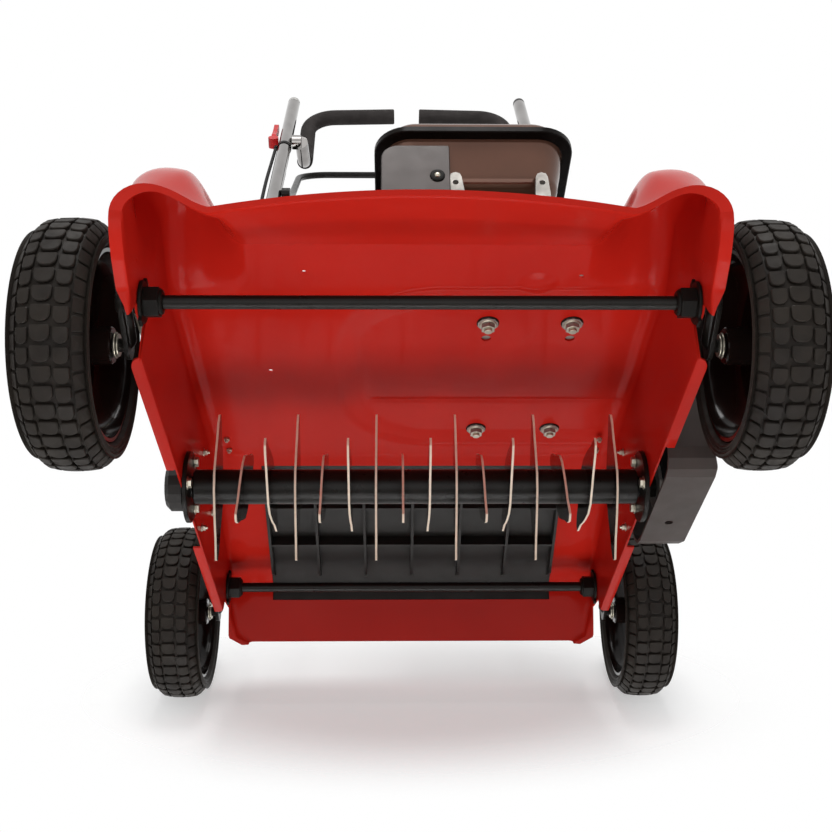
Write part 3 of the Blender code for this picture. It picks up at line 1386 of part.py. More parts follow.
def foam_grip(name, side):
    """Foam sleeve over the bent part of an upper bar."""
    path = bent_path(grip_corners(side), 0.045, 3)[2:]
    path[0] = path[0].lerp(path[1], 0.4)
    sleeve = tube(name, path, FOAM_RADIUS, 2, capped=False)
    shell = sleeve.modifiers.new("foam", "SOLIDIFY")
    shell.thickness = FOAM_RADIUS - GRIP_TUBE_RADIUS - GAP
    shell.offset = -1.0
    return as_part(sleeve, "foam")


LEVER_REACH = 0.066
LEVER_DRUM = 0.008


def quick_release(name, side):
    """Cam lever on the outer side of a leg: paddle grip, oval loop and a drum across the bolt."""
    direction = Vector((0.0, LEG_RUN, 1.0)).normalized()
    across = Vector((0.0, direction.z, -direction.y))
    x = side * (LEG_X + LEG_RADIUS + 2 * GAP + LEVER_DRUM)
    pivot = Vector((x, station(leg_station(FOLD_Z)), FOLD_Z))

    def place(u, v):
        spot = pivot + direction * u + across * v
        return (spot.y, spot.z)

    outline = [place(-0.002, -0.006), place(-0.002, 0.006), place(0.012, 0.0085), place(0.032, 0.0060),
               place(LEVER_REACH - 0.004, 0.0065), place(LEVER_REACH, 0.003), place(LEVER_REACH, -0.003),
               place(LEVER_REACH - 0.004, -0.0065), place(0.032, -0.0060), place(0.012, -0.0085)]
    loop = [place(0.020 + 0.010 * math.cos(t), 0.0038 * math.sin(t)) for t in
            [2.0 * math.pi * i / 8 for i in range(8)]]
    lever = plate(name, [outline, loop], "YZ", x, 0.007)
    drum = rod_between(name + "_drum", pivot - across * 0.008, pivot + across * 0.008, LEVER_DRUM, 12)
    return as_part(boolean(lever, drum, "UNION"), "lever_red")


def bail():
    """Bent rod behind the grips, held up to keep the engine running."""
    pivot = (leg_station(BAIL_Z), BAIL_Z)
    corners = []
    for side in (-1, 1):
        arm = [(side * BAIL_END_X, station(pivot[0]), pivot[1]), (side * BAIL_X, station(BAIL_KNEE_STATION), BAIL_KNEE_Z),
               (side * BAIL_X, station(BAIL_TOP_STATION), BAIL_TOP_Z)]
        corners += arm if side < 0 else list(reversed(arm))
    rod = to_mesh(tube("bail", bent_path(corners, BAIL_BEND, 2), BAIL_RADIUS, 1))
    end = LEG_X - LEG_RADIUS - GAP
    bosses = []
    for side in (-1, 1):
        bosses.append(((side * (end - 0.006), station(pivot[0]), pivot[1]), 0.0085, 0.012))
    return as_part(boolean(rod, rods("bail_bosses", bosses, "X", 14), "UNION"), "black_paint")


def cable_route():
    """Points of the cable from its clip on the left leg down to the engine."""
    def beside(z, out):
        return (-(LEG_X + LEG_RADIUS + CABLE_RADIUS + out), station(leg_station(z)), z)

    return [beside(0.864, 0.0015), beside(0.82, 0.006), beside(0.74, 0.013), beside(0.64, 0.012), beside(0.54, 0.006),
            beside(0.45, 0.002), beside(0.40, 0.0015), (-0.194, station(0.306), 0.352),
            (-0.160, station(0.300), 0.322), (-0.100, station(0.2985), 0.304), (-0.060, station(0.2985), 0.301),
            (-0.035, station(0.2985), 0.300)]


def control_cable():
    """Cable clipped along the outside of the left leg."""
    knots = [Vector(point) for point in cable_route()]
    padded = [knots[0] * 2 - knots[1]] + knots + [knots[-1] * 2 - knots[-2]]
    path = []
    for a, b, c, d in zip(padded, padded[1:], padded[2:], padded[3:]):
        for i in range(3):
            t = i / 3
            path.append(0.5 * (2 * b + (c - a) * t + (2 * a - 5 * b + 4 * c - d) * t ** 2
                               + (3 * b - a - 3 * c + d) * t ** 3))
    path.append(knots[-1])
    return as_part(tube("control_cable", path, CABLE_RADIUS, 1), "rubber")


def crankshaft():
    shaft = [(0.0, PULLEY_X + PULLEY_WIDTH), (SHAFT_RADIUS, PULLEY_X + PULLEY_WIDTH),
             (SHAFT_RADIUS, ENGINE_X + CRANKCASE_HALF_X - 0.020), (0.0, ENGINE_X + CRANKCASE_HALF_X - 0.020)]
    obj = turned("crankshaft", shaft, (0.0, station(ENGINE_SHAFT_STATION), ENGINE_SHAFT_Z), "X", 12)
    return as_part(obj, "bright_steel")


SIDES = (("left", -1), ("right", 1))


def on_axis(name, place, pieces):
    """Parent moving pieces to an empty that stands on their joint's axis."""
    empty = bpy.data.objects.new(name, None)
    empty.location = place
    empty.empty_display_size = 0.03
    PARTS.objects.link(empty)
    bpy.context.view_layer.update()
    for piece in pieces:
        piece.parent = empty
        piece.matrix_parent_inverse = empty.matrix_world.inverted()
    return empty


def build_chassis():
    deck_housing()
    for word, side in SIDES:
        bushing("front_bushing_" + word, side, FRONT_AXLE)
        bushing("rear_bushing_" + word, side, REAR_AXLE)
        rotor_bearing("rotor_bearing_" + word, side)
        handle_bracket("handle_bracket_" + word, side)
        handle_leg("handle_leg_" + word, side)
        leg_plug("leg_plug_" + word, side)
    bearing_cap()
    depth_quadrant()
    drive_belt()
    belt_cover()
    control_cable()


def build_engine():
    crankcase()
    cylinder()
    valve_cover()
    muffler()
    muffler_guard()
    blower_housing()
    front_shroud()
    tank_bracket()
    fuel_tank()
    air_cleaner()
    carburettor()
    spark_plug_boot()
    shaft = (PULLEY_X, station(ENGINE_SHAFT_STATION), ENGINE_SHAFT_Z)
    on_axis("crankshaft_axis", shaft, [crankshaft(), pulley("engine_pulley", ENGINE_SHAFT_STATION, ENGINE_SHAFT_Z)])
    on_axis("fuel_cap_axis", (TANK_X, station(FILLER_STATION), TANK_TOP_Z), [fuel_cap()])
    on_axis("throttle_axis", (THROTTLE_X, station(INTAKE_STATION), THROTTLE_Z), [throttle_lever()])
    on_axis("starter_rope_exit", starter_exit(), [starter_grip()])


def build_running_gear():
    front_axle = on_axis("front_axle_axis", (0.0, station(FRONT_AXLE), AXLE_Z),
                         [axle_rod("front_axle_rod", FRONT_AXLE, LINK_RADIUS)])
    rear_axle = on_axis("rear_axle_axis", (0.0, station(REAR_AXLE), AXLE_Z),
                        [axle_rod("rear_axle_rod", REAR_AXLE, DEPTH_LEVER_LENGTH), depth_lever()])
    front_pin = link_pin(FRONT_AXLE)
    link = on_axis("link_pin_axis", (-LINK_PLATE_X, front_pin[0], front_pin[1]), [depth_link_rod()])
    for end, place, axle in (("front", 0.0, front_axle), ("rear", WHEELBASE, rear_axle)):
        for word, side in SIDES:
            hub = on_axis("wheel_axis_" + end + "_" + word, (side * WHEEL_INNER_X, station(place), WHEEL_RADIUS),
                          [tyre("tyre_" + end + "_" + word, side, place),
                           rim("rim_" + end + "_" + word, side, place)])
            hub.parent = axle
            hub.matrix_parent_inverse = axle.matrix_world.inverted()
    link.parent = front_axle
    link.matrix_parent_inverse = front_axle.matrix_world.inverted()
    on_axis("rotor_axis", (0.0, station(ROTOR_STATION), ROTOR_Z),
            [knife_rotor(), pulley("rotor_pulley", ROTOR_STATION, ROTOR_Z)])
    on_axis("flap_axis", (0.0, station(FLAP_AXIS[0]), FLAP_AXIS[1]), [rear_flap()])


def build_handle():
    fold_y = station(leg_station(FOLD_Z))
    for word, side in SIDES:
        on_axis("fold_axis_" + word, (side * GRIP_X, fold_y, FOLD_Z),
                [grip_bar("grip_bar_" + word, side), foam_grip("foam_grip_" + word, side)])
        outer = side * (LEG_X + LEG_RADIUS + 2 * GAP + LEVER_DRUM)
        on_axis("release_axis_" + word, (outer, fold_y, FOLD_Z), [quick_release("quick_release_" + word, side)])
    on_axis("bail_axis", (0.0, station(leg_station(BAIL_Z)), BAIL_Z), [bail()])


def build():
    build_chassis()
    build_engine()
    build_running_gear()
    build_handle()


build()
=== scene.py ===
"""Looks of the walk-behind petrol lawn scarifier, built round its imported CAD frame.

Lengths are metres in the row frame: X to the machine's right, front towards -Y, ground at z = 0.
Places along the machine are stations, measured back from the front wheels' axis.
"""

import math

import bmesh
import bpy
from mathutils import Matrix, Vector


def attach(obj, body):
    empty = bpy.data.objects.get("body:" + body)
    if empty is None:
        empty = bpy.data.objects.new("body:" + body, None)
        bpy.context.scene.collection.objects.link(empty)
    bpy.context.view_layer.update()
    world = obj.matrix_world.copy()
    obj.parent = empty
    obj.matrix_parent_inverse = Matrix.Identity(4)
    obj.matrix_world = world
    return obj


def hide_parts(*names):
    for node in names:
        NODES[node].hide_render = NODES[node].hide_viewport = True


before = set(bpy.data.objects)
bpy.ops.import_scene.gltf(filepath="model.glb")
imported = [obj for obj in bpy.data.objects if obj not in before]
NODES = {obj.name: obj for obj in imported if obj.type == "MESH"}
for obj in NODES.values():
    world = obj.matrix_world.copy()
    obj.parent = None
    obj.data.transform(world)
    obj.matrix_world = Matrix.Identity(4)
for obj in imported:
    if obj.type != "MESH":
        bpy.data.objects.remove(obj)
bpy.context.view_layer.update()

# Sizes shared with the CAD

GAP = 0.0003
WELD = 0.00001
CRISP_ANGLE = math.radians(34.0)
BEVEL_ANGLE = math.radians(32.0)
SIDES = (("left", -1), ("right", 1))
FRONT_WHEEL_Y = -0.33375
WHEELBASE = 0.562
WHEEL_RADIUS = 0.100
WHEEL_WIDTH = 0.055
WHEEL_INNER_X = 0.243
TYRE_WALL = 0.022
RIM_BARREL = 0.003
HUB_RADIUS = 0.015
HUB_OUTER = 0.0385
AXLE_RADIUS = 0.0055
AXLE_BEND = 0.007
CRANK_ARM = 0.040
CRANK_DROP = math.radians(22.0)
CRANK_X = 0.2295
CRANK_PLATE_X = 0.2308
CRANK_PLATE = 0.004
CRANK_PLATE_HALF = 0.0115
AXLE_BACK = CRANK_ARM * math.cos(CRANK_DROP)
AXLE_Z = WHEEL_RADIUS + CRANK_ARM * math.sin(CRANK_DROP)
FRONT_AXLE = -AXLE_BACK
REAR_AXLE = WHEELBASE - AXLE_BACK
LINK_RADIUS = 0.045
LINK_ANGLE = math.radians(72.0)
LINK_PLATE_X = 0.2315
LINK_PLATE = 0.0035
LINK_PLATE_HALF = 0.008
DEPTH_LEVER_LENGTH = 0.30

SHEET = 0.002
DECK_HALF_WIDTH = 0.2185
LIP = 0.0080
LIP_STUB = 0.0002
RIM_FLANGE = 0.0030
RIM_STATION = -0.120
CEILING_Z = 0.200
SKIRT_Z = 0.080
CREASE_STATION = -0.006
RIM_CENTRE_Z = 0.152
RIM_DIP_Z = 0.1345
RIM_DIP_X = 0.156
RIM_HUMP_Z = 0.1555
RIM_HUMP_X = 0.1985
RIM_SIDE_Z = 0.1335
DOME_TOP_Z = 0.244
DOME_STATION = -0.030
DOME_END = 0.065
SLOPE_START = 0.360
SLOPE_END = 0.562
SLOPE_END_Z = 0.135
APRON_END = 0.584
APRON_Z = 0.070
PLATFORM_RISE = 0.006
PLATFORM_LEFT_X = -0.077
PLATFORM_CORNER = 0.100
PLATFORM_FRONT = 0.053
PLATFORM_REAR = 0.335
BOSS_X = 0.105
BOSS_STATION = 0.048
BOSS_RADIUS = 0.0165
BOSS_DEPTH = 0.003
OPENING_HALF_WIDTH = 0.167
OPENING_START = 0.372
OPENING_SILL_Z = 0.116

ROTOR_STATION = 0.223
ROTOR_Z = 0.090
ROTOR_TUBE_RADIUS = 0.0165
ROTOR_HALF_LENGTH = 0.210
SHAFT_RADIUS = 0.010
KNIFE_COUNT = 16
KNIFE_PITCH = 0.025
KNIFE_SWING = 0.0695
KNIFE_WAIST = 0.030
KNIFE_PLATE = 0.002
KNIFE_STEP = math.radians(60.0)
KNIFE_FIRST = math.radians(111.0)
BEARING_RADIUS = 0.0195
BEARING_FLANGE = 0.034
BEARING_PLATE = 0.004
BEARING_BOLT_CIRCLE = 0.027
BEARING_BOLT_ANGLES = (90.0, 200.0, 340.0)
PULLEY_X = 0.2275
PULLEY_WIDTH = 0.016

ENGINE_X = 0.105
BOLT_SPREAD_X = 0.039
BOLT_SPREAD_Y = 0.096
BOLT_STATION = 0.211
TANK_X = 0.067
TANK_HALF_X = 0.110
TANK_FRONT = 0.163
TANK_REAR = 0.333
TANK_SEAM_Z = 0.496
TANK_TOP_Z = 0.528
TANK_BOTTOM_Z = 0.433
TANK_FLANGE = 0.011
FILLER_STATION = 0.262
FILLER_RADIUS = 0.020
SHROUD_STATION = 0.1695
SHROUD_SHEET = 0.003
SHROUD_LOW = (-0.0345, 0.3923)
SHROUD_HIGH = (0.0388, 0.4775)
SHROUD_SCREW = (0.0253, 0.434)
SHROUD_CORNERS = (0.003, 0.018, 0.003, 0.003)

LEG_X = 0.1895
LEG_RADIUS = 0.010
LEG_TOP_Z = 1.046
LEG_TOP_STATION = 0.669
LEG_FOOT_Z = 0.218
LEG_RUN = 0.4878
PLUG_LENGTH = 0.012
GRIP_X = 0.165
GRIP_TUBE_RADIUS = 0.010
FOAM_RADIUS = 0.0125
GRIP_GAP = 0.021
GRIP_BEND = 0.045
GRIP_KNEE = (0.662, 0.902)
GRIP_TOP = (0.700, 1.046)
GRIP_END_Z = 1.050
FOAM_START = 9
FOAM_ROUNDING = 0.0012
FOLD_Z = 0.885
BAIL_Z = 0.700
BAIL_RADIUS = 0.0055
BAIL_X = 0.185
BAIL_END_X = 0.1735
BAIL_KNEE = (0.650, 0.832)
BAIL_TOP = (0.790, 1.000)
BAIL_BEND = 0.050
BAIL_KNEE_X = BAIL_X - 0.0040
BAIL_STRAIGHT = 0.55
BAIL_BOSS = 0.012
CABLE_RADIUS = 0.0025
CABLE_CLIPS = ((0.862, 0.0004), (0.640, 0.0030), (0.430, 0.0009))
CLIP_HALF = 0.004
# The cable's route below the leg: x, station, z
CABLE_END = ((-0.194, 0.306, 0.352), (-0.160, 0.300, 0.322), (-0.100, 0.2985, 0.304),
             (-0.060, 0.2985, 0.301), (-0.035, 0.2985, 0.300))


def station(distance):
    """World y of a place that far behind the front wheels' axis."""
    return FRONT_WHEEL_Y + distance


# The camera of the photograph: focal length in pixels, and its place in the row frame

PICTURE = 832
SENSOR = 36.0
FOCAL_PIXELS = 1200.0
CAMERA_PLACE = Vector((-0.0202, station(-0.7904), -0.4405))
CAMERA_RISE = math.atan2(0.515, 0.857)
CAMERA_YAW = 0.0178
PHOTO_LEVEL = Vector((0.0, math.cos(CAMERA_RISE), math.sin(CAMERA_RISE)))
PHOTO_UP = Vector((0.0, -math.sin(CAMERA_RISE), math.cos(CAMERA_RISE)))


def add_camera():
    data = bpy.data.cameras.new("photo_camera")
    data.sensor_width = SENSOR
    data.lens = FOCAL_PIXELS / PICTURE * SENSOR
    data.clip_start = 0.05
    data.clip_end = 40.0
    camera = bpy.data.objects.new("photo_camera", data)
    bpy.context.collection.objects.link(camera)
    across = Vector((1.0, 0.0, 0.0))
    right = across * math.cos(CAMERA_YAW) - PHOTO_LEVEL * math.sin(CAMERA_YAW)
    aim = PHOTO_LEVEL * math.cos(CAMERA_YAW) + across * math.sin(CAMERA_YAW)
    turn = Matrix((right, PHOTO_UP, -aim)).transposed()
    camera.matrix_world = Matrix.Translation(CAMERA_PLACE) @ turn.to_4x4()
    bpy.context.scene.camera = camera
    return aim


AIM = add_camera()


# Materials

COAT_ROUGHNESS = 0.06


def srgb(colour):
    """Linear colour of an 8-bit display colour."""
    channels = []
    for value in colour:
        level = value / 255.0
        channels.append(level / 12.92 if level <= 0.04045 else ((level + 0.055) / 1.055) ** 2.4)
    return (*channels, 1.0)


def fill(tree, target, inputs):
    """Give a node's inputs, each by its name or number, a value or a link."""
    for socket, value in inputs.items():
        if isinstance(value, bpy.types.NodeSocket):
            tree.links.new(value, target.inputs[socket])
        else:
            target.inputs[socket].default_value = value


def add_node(tree, kind, inputs, output=0, **settings):
    """Add a shader node with its settings and inputs, and return one of its outputs."""
    made = tree.nodes.new("ShaderNode" + kind)
    for setting, value in settings.items():
        setattr(made, setting, value)
    fill(tree, made, inputs)
    return made.outputs[output]


def noise_of(tree, place, scale, detail=3.0, stretch=None):
    """Noise factor over object places, stretched along the axes if asked."""
    if stretch:
        place = add_node(tree, "Mapping", {"Vector": place, "Scale": stretch})
    return add_node(tree, "TexNoise", {"Vector": place, "Scale": scale, "Detail": detail}, "Fac")


def ranged(tree, factor, low, high):
    """The middle of a noise's range spread between two values."""
    return add_node(tree, "MapRange", {"Value": factor, "From Min": 0.3, "From Max": 0.7, "To Min": low,
                                       "To Max": high})


def mixed(tree, factor, first, second):
    """Colour between two colours by a factor."""
    return add_node(tree, "Mix", {0: factor, 6: first, 7: second}, 2, data_type="RGBA")


def surface(name, base, tint, patch=14.0, grain=900.0, metallic=0.0, rough=(0.35, 0.5), bump=0.1,
            depth=0.0002, stretch=None, coat=0.0, specular=0.5):
    """A finish whose colour drifts between two tones, with uneven gloss and a fine surface."""
    made = bpy.data.materials.new(name)
    made.use_nodes = True
    tree = made.node_tree
    shader = next(part for part in tree.nodes if part.type == "BSDF_PRINCIPLED")
    place = add_node(tree, "TexCoord", {}, "Object")
    drift = ranged(tree, noise_of(tree, place, patch, 5.0, stretch), 0.0, 1.0)
    fine = noise_of(tree, place, grain, 2.0, stretch)
    fill(tree, shader, {
        "Base Color": mixed(tree, drift, srgb(base), srgb(tint)),
        "Roughness": ranged(tree, noise_of(tree, place, patch * 3.1, 4.0, stretch), *rough),
        "Normal": add_node(tree, "Bump", {"Height": fine, "Strength": bump, "Distance": depth}),
        "Metallic": metallic, "Specular IOR Level": specular, "Coat Weight": coat,
        "Coat Roughness": COAT_ROUGHNESS})
    return made


FINISH = {
    "red": surface("deck_enamel", (206, 42, 30), (190, 36, 26), patch=5.0, grain=420.0, rough=(0.14, 0.2),
                   bump=0.03, coat=0.045, specular=0.04),
    "lever_red": surface("lever_red_plastic", (214, 34, 36), (198, 27, 29), patch=40.0, rough=(0.28, 0.4),
                         specular=0.3),
    "black": surface("black_enamel", (20, 18, 16), (27, 25, 22), patch=30.0, rough=(0.26, 0.36), bump=0.06,
                     specular=0.12, coat=0.015),
    "bushing": surface("bushing_moulding", (17, 16, 14), (23, 21, 19), patch=40.0, grain=1400.0,
                       rough=(0.4, 0.5), bump=0.2, depth=0.0001, specular=0.08),
    # The tank is glossy black steel; this tan-brown base colour is a painted reflection of the warm room round
    # it.
    "tank": surface("tank_tan_painted_reflection", (112, 76, 60), (96, 65, 51), patch=9.0, grain=500.0, metallic=0.35,
                    rough=(0.10, 0.17), bump=0.03, specular=0.3, coat=0.12),
    "tank_seam": surface("tank_seam_enamel", (17, 13, 12), (22, 18, 16), patch=12.0, grain=700.0,
                         rough=(0.2, 0.3), bump=0.05, specular=0.06),
    "plastic": surface("black_moulding", (27, 25, 23), (35, 33, 31), patch=22.0, grain=1400.0,
                       rough=(0.42, 0.55), bump=0.25, depth=0.0001, specular=0.2),
    "cover": surface("cover_moulding", (66, 60, 57), (76, 69, 66), patch=18.0, grain=1500.0,
                     rough=(0.42, 0.55), bump=0.3, depth=0.0001, specular=0.15),
    "shroud": surface("shroud_sheet", (60, 52, 49), (50, 43, 40), patch=18.0, grain=1300.0, metallic=0.2,
                      rough=(0.28, 0.38), bump=0.05, depth=0.0001, specular=0.25),
    "rim": surface("rim_moulding", (22, 15, 13), (32, 22, 19), patch=16.0, grain=800.0, rough=(0.1, 0.18),
                   bump=0.04, coat=0.04, specular=0.14),
    "rubber": surface("tyre_rubber", (30, 26, 23), (43, 38, 33), patch=38.0, grain=1100.0,
                      rough=(0.5, 0.7), bump=0.5, depth=0.0003, specular=0.16),
    "belt": surface("belt_rubber", (26, 26, 26), (38, 37, 36), patch=60.0, rough=(0.6, 0.75), bump=0.3,
                    specular=0.2),
    "pale_plug": surface("pale_plug", (200, 198, 194), (182, 180, 176), patch=60.0, grain=1500.0,
                         rough=(0.4, 0.5), bump=0.1),
    "foam": surface("grip_foam", (52, 49, 48), (66, 62, 61), patch=60.0, grain=1900.0, rough=(0.78, 0.9),
                    bump=0.8, depth=0.0005, specular=0.15),
    "zinc": surface("zinc_plate", (190, 184, 168), (172, 166, 151), patch=60.0, grain=900.0, metallic=0.9,
                    rough=(0.29, 0.34), bump=0.03, depth=0.0001),
    # Knife steel in two painted copies: the flat sides darkened as painted shade, the edges near-white as a
    # painted highlight.
    "knife_face_painted_shade": surface("knife_face_painted_shade", (96, 84, 76), (78, 68, 62), patch=70.0, grain=900.0, metallic=1.0,
                          rough=(0.10, 0.2), bump=0.05, depth=0.0001),
    "knife_edge_painted_highlight": surface("knife_edge_painted_highlight", (252, 244, 222), (238, 228, 204), patch=150.0, grain=1600.0,
                          metallic=0.0, rough=(0.4, 0.55), bump=0.1, depth=0.0001),
    "tube": surface("chrome_tube", (150, 147, 145), (124, 121, 119), patch=40.0, grain=500.0, metallic=1.0,
                    rough=(0.04, 0.09), bump=0.012, depth=0.0001, stretch=(1.0, 1.0, 0.08)),
    "steel": surface("bright_steel", (178, 178, 180), (150, 150, 153), patch=60.0, grain=900.0, metallic=1.0,
                     rough=(0.2, 0.32), bump=0.08, depth=0.0001, stretch=(1.0, 1.0, 0.08)),
    "cast": surface("cast_aluminium", (158, 154, 148), (126, 122, 117), patch=45.0, grain=1300.0,
                    metallic=0.7, rough=(0.42, 0.6), bump=0.5, depth=0.0003),
    "muffler": surface("muffler_steel", (120, 110, 100), (84, 76, 70), patch=30.0, grain=900.0, metallic=0.9,
                       rough=(0.35, 0.55), bump=0.2),
}


# Shape helpers

def sharpen_by_angle():
    """Node group that smooths a mesh and keeps edges sharper than the crisp angle."""
    group = bpy.data.node_groups.new("crisp_edges", "GeometryNodeTree")
    group.interface.new_socket("Geometry", in_out="INPUT", socket_type="NodeSocketGeometry")
    group.interface.new_socket("Geometry", in_out="OUTPUT", socket_type="NodeSocketGeometry")
    nodes, links = group.nodes, group.links
    start, end = nodes.new("NodeGroupInput"), nodes.new("NodeGroupOutput")
    faces, edges = nodes.new("GeometryNodeSetShadeSmooth"), nodes.new("GeometryNodeSetShadeSmooth")
    edges.domain = "EDGE"
    edges.inputs["Shade Smooth"].default_value = False
    angle = nodes.new("GeometryNodeInputMeshEdgeAngle")
    compare = nodes.new("FunctionNodeCompare")
    compare.operation = "GREATER_THAN"
    compare.inputs["B"].default_value = CRISP_ANGLE
    links.new(angle.outputs["Unsigned Angle"], compare.inputs["A"])
    links.new(start.outputs[0], faces.inputs["Geometry"])
    links.new(faces.outputs[0], edges.inputs["Geometry"])
    links.new(compare.outputs[0], edges.inputs["Selection"])
    links.new(edges.outputs[0], end.inputs[0])
    return group


CRISP = sharpen_by_angle()


def keep_faces_flat(obj):
    """Shade each vertex by its largest faces, so that wide faces look flat up to their rounded edges."""
    obj.modifiers.new("face_normals", "WEIGHTED_NORMAL").keep_sharp = True


def soften(obj, width=0.0, segments=2):
    """Round the piece's sharp edges by a width, then smooth its shading."""
    if width:
        bevel = obj.modifiers.new("rounded_edges", "BEVEL")
        bevel.width = width
        bevel.segments = segments
        bevel.limit_method = "ANGLE"
        bevel.angle_limit = BEVEL_ANGLE
        bevel.use_clamp_overlap = True
    obj.modifiers.new("crisp_edges", "NODES").node_group = CRISP
    if width:
        keep_faces_flat(obj)


def dress(node, finish, width, segments):
    """Show a CAD node in a finish, with its edges rounded."""
    obj = NODES[node]
    for slot in obj.material_slots:
        slot.link = "OBJECT"
        slot.material = FINISH[finish]
    soften(obj, width, segments)


def mesh_object(name, bm):
    mesh = bpy.data.meshes.new(name)
    bm.to_mesh(mesh)
    bm.free()
    obj = bpy.data.objects.new(name, mesh)
    bpy.context.collection.objects.link(obj)
    return obj


def absorb(bm, obj):
    """Move a piece's mesh, with its modifiers and its place applied, into another mesh."""
    bpy.context.view_layer.update()
    evaluated = obj.evaluated_get(bpy.context.evaluated_depsgraph_get())
    mesh = bpy.data.meshes.new_from_object(evaluated)
    mesh.transform(obj.matrix_world)
    bm.from_mesh(mesh)
    bpy.data.meshes.remove(mesh)
    bpy.data.objects.remove(obj, do_unlink=True)


def applied(obj):
    """The piece with its modifiers baked into its mesh and its vertices welded."""
    bm = bmesh.new()
    name = obj.name
    absorb(bm, obj)
    bmesh.ops.remove_doubles(bm, verts=bm.verts, dist=WELD)
    return mesh_object(name, bm)


def cut_by(target, tool):
    """The target with the tool's volume taken out."""
    cut = target.modifiers.new("cut", "BOOLEAN")
    cut.operation = "DIFFERENCE"
    cut.solver = "EXACT"
    cut.object = tool
    made = applied(target)
    bpy.data.objects.remove(tool, do_unlink=True)
    return made


def joined(name, objects):
    """One mesh object from several, with their modifiers applied."""
    bm = bmesh.new()
    for obj in objects:
        absorb(bm, obj)
    return mesh_object(name, bm)


def skin(bm, rings, closed=True):
    """Faces between each ring of vertices and the next."""
    for here, there in zip(rings, rings[1:]):
        for j in range(len(here) if closed else len(here) - 1):
            k = (j + 1) % len(here)
            bm.faces.new((here[j], here[k], there[k], there[j]))


def welded(name, bm):
    """Mesh object with doubled vertices merged and its faces turned outwards."""
    bmesh.ops.remove_doubles(bm, verts=bm.verts, dist=WELD)
    bmesh.ops.recalc_face_normals(bm, faces=bm.faces)
    return mesh_object(name, bm)


AXIS_TURN = {
    "X": Matrix.Rotation(math.radians(90.0), 4, "Y"),
    "Y": Matrix.Rotation(math.radians(-90.0), 4, "X"),
    "Z": Matrix.Identity(4),
}


def rods(name, places, axis="X", sides=32):
    """Separate cylinders in one mesh: (centre, radius, length) for each, along one axis."""
    bm = bmesh.new()
    for centre, radius, length in places:
        bmesh.ops.create_cone(bm, cap_ends=True, segments=sides, radius1=radius, radius2=radius, depth=length,
                              matrix=Matrix.Translation(centre) @ AXIS_TURN[axis])
    return mesh_object(name, bm)


def blocks(name, pairs):
    """Separate boxes in one mesh, each from its low to its high corner."""
    bm = bmesh.new()
    for low, high in pairs:
        size = [high[i] - low[i] for i in range(3)]
        middle = [(high[i] + low[i]) / 2 for i in range(3)]
        bmesh.ops.create_cube(bm, size=1.0, matrix=Matrix.Translation(middle) @ Matrix.Diagonal((*size, 1.0)))
    return mesh_object(name, bm)


def turned(name, profile, matrix, steps=64, closed=True):
    """A (radius, height) section turned about the matrix's Z axis."""
    bm = bmesh.new()
    rings = []
    for i in range(steps):
        angle = 2.0 * math.pi * i / steps
        rings.append([bm.verts.new(matrix @ Vector((r * math.cos(angle), r * math.sin(angle), h)))
                      for r, h in profile])
    skin(bm, rings + rings[:1], closed)
    return welded(name, bm)


def turned_x(name, profile, centre, side=1, steps=64, closed=True):
    """A section turned about an axis along X; heights run outwards on the given side."""
    heights = [(r, side * h) for r, h in profile]
    return turned(name, heights, Matrix.Translation(centre) @ AXIS_TURN["X"], steps, closed)


def arc(centre, radius, start, end, count):
    points = []
    for i in range(count + 1):
        angle = math.radians(start + (end - start) * i / count)
        points.append((centre[0] + radius * math.cos(angle), centre[1] + radius * math.sin(angle)))
    return points


def smooth_step(value, low, high):
    t = min(1.0, max(0.0, (value - low) / (high - low)))
    return t * t * (3.0 - 2.0 * t)


def follow(value, knots):
    """Height at a value on straight lines between (value, height) knots, level beyond both ends."""
    for (a, za), (b, zb) in zip(knots, knots[1:]):
        if value <= b:
            return za + (zb - za) * max(0.0, (value - a) / (b - a))
    return knots[-1][1]


def tube_mesh(bm, path, radius, sides=16, capped=True, upright=(0.0, 0.0, 1.0)):
    """A round tube along a path, added to a mesh; radius may be one number or one for each point."""
    path = [Vector(p) for p in path]
    radii = radius if isinstance(radius, (list, tuple)) else [radius] * len(path)
    rings = []
    side = None
    for i, point in enumerate(path):
        along = (path[min(i + 1, len(path) - 1)] - path[max(i - 1, 0)]).normalized()
        if side is None:
            base = Vector(upright)
            if abs(base.dot(along)) > 0.95:
                base = Vector((1.0, 0.0, 0.0))
            side = (base - along * base.dot(along)).normalized()
        else:
            side = (side - along * side.dot(along)).normalized()
        other = along.cross(side)
        ring = []
        for j in range(sides):
            angle = 2.0 * math.pi * j / sides
            ring.append(bm.verts.new(point + (side * math.cos(angle) + other * math.sin(angle)) * radii[i]))
        rings.append(ring)
    skin(bm, rings)
    if capped:
        bm.faces.new(list(reversed(rings[0])))
        bm.faces.new(rings[-1])
    return rings


def bent_path(corners, radius, count=10):
    """A path through its corners with each inner corner rounded."""
    corners = [Vector(corner) for corner in corners]
    path = [corners[0]]
    for before, corner, after in zip(corners, corners[1:], corners[2:]):
        into = (before - corner).normalized()
        out = (after - corner).normalized()
        half = into.angle(out) / 2
        reach = min(radius / math.tan(half), 0.49 * (before - corner).length, 0.49 * (after - corner).length)
        bend = reach * math.tan(half)
        middle = corner + (into + out).normalized() * (bend / math.sin(half))
        first = corner + into * reach - middle
        last = corner + out * reach - middle
        for i in range(count + 1):
            path.append(middle + first.slerp(last, i / count) * bend)
    path.append(corners[-1])
    return path


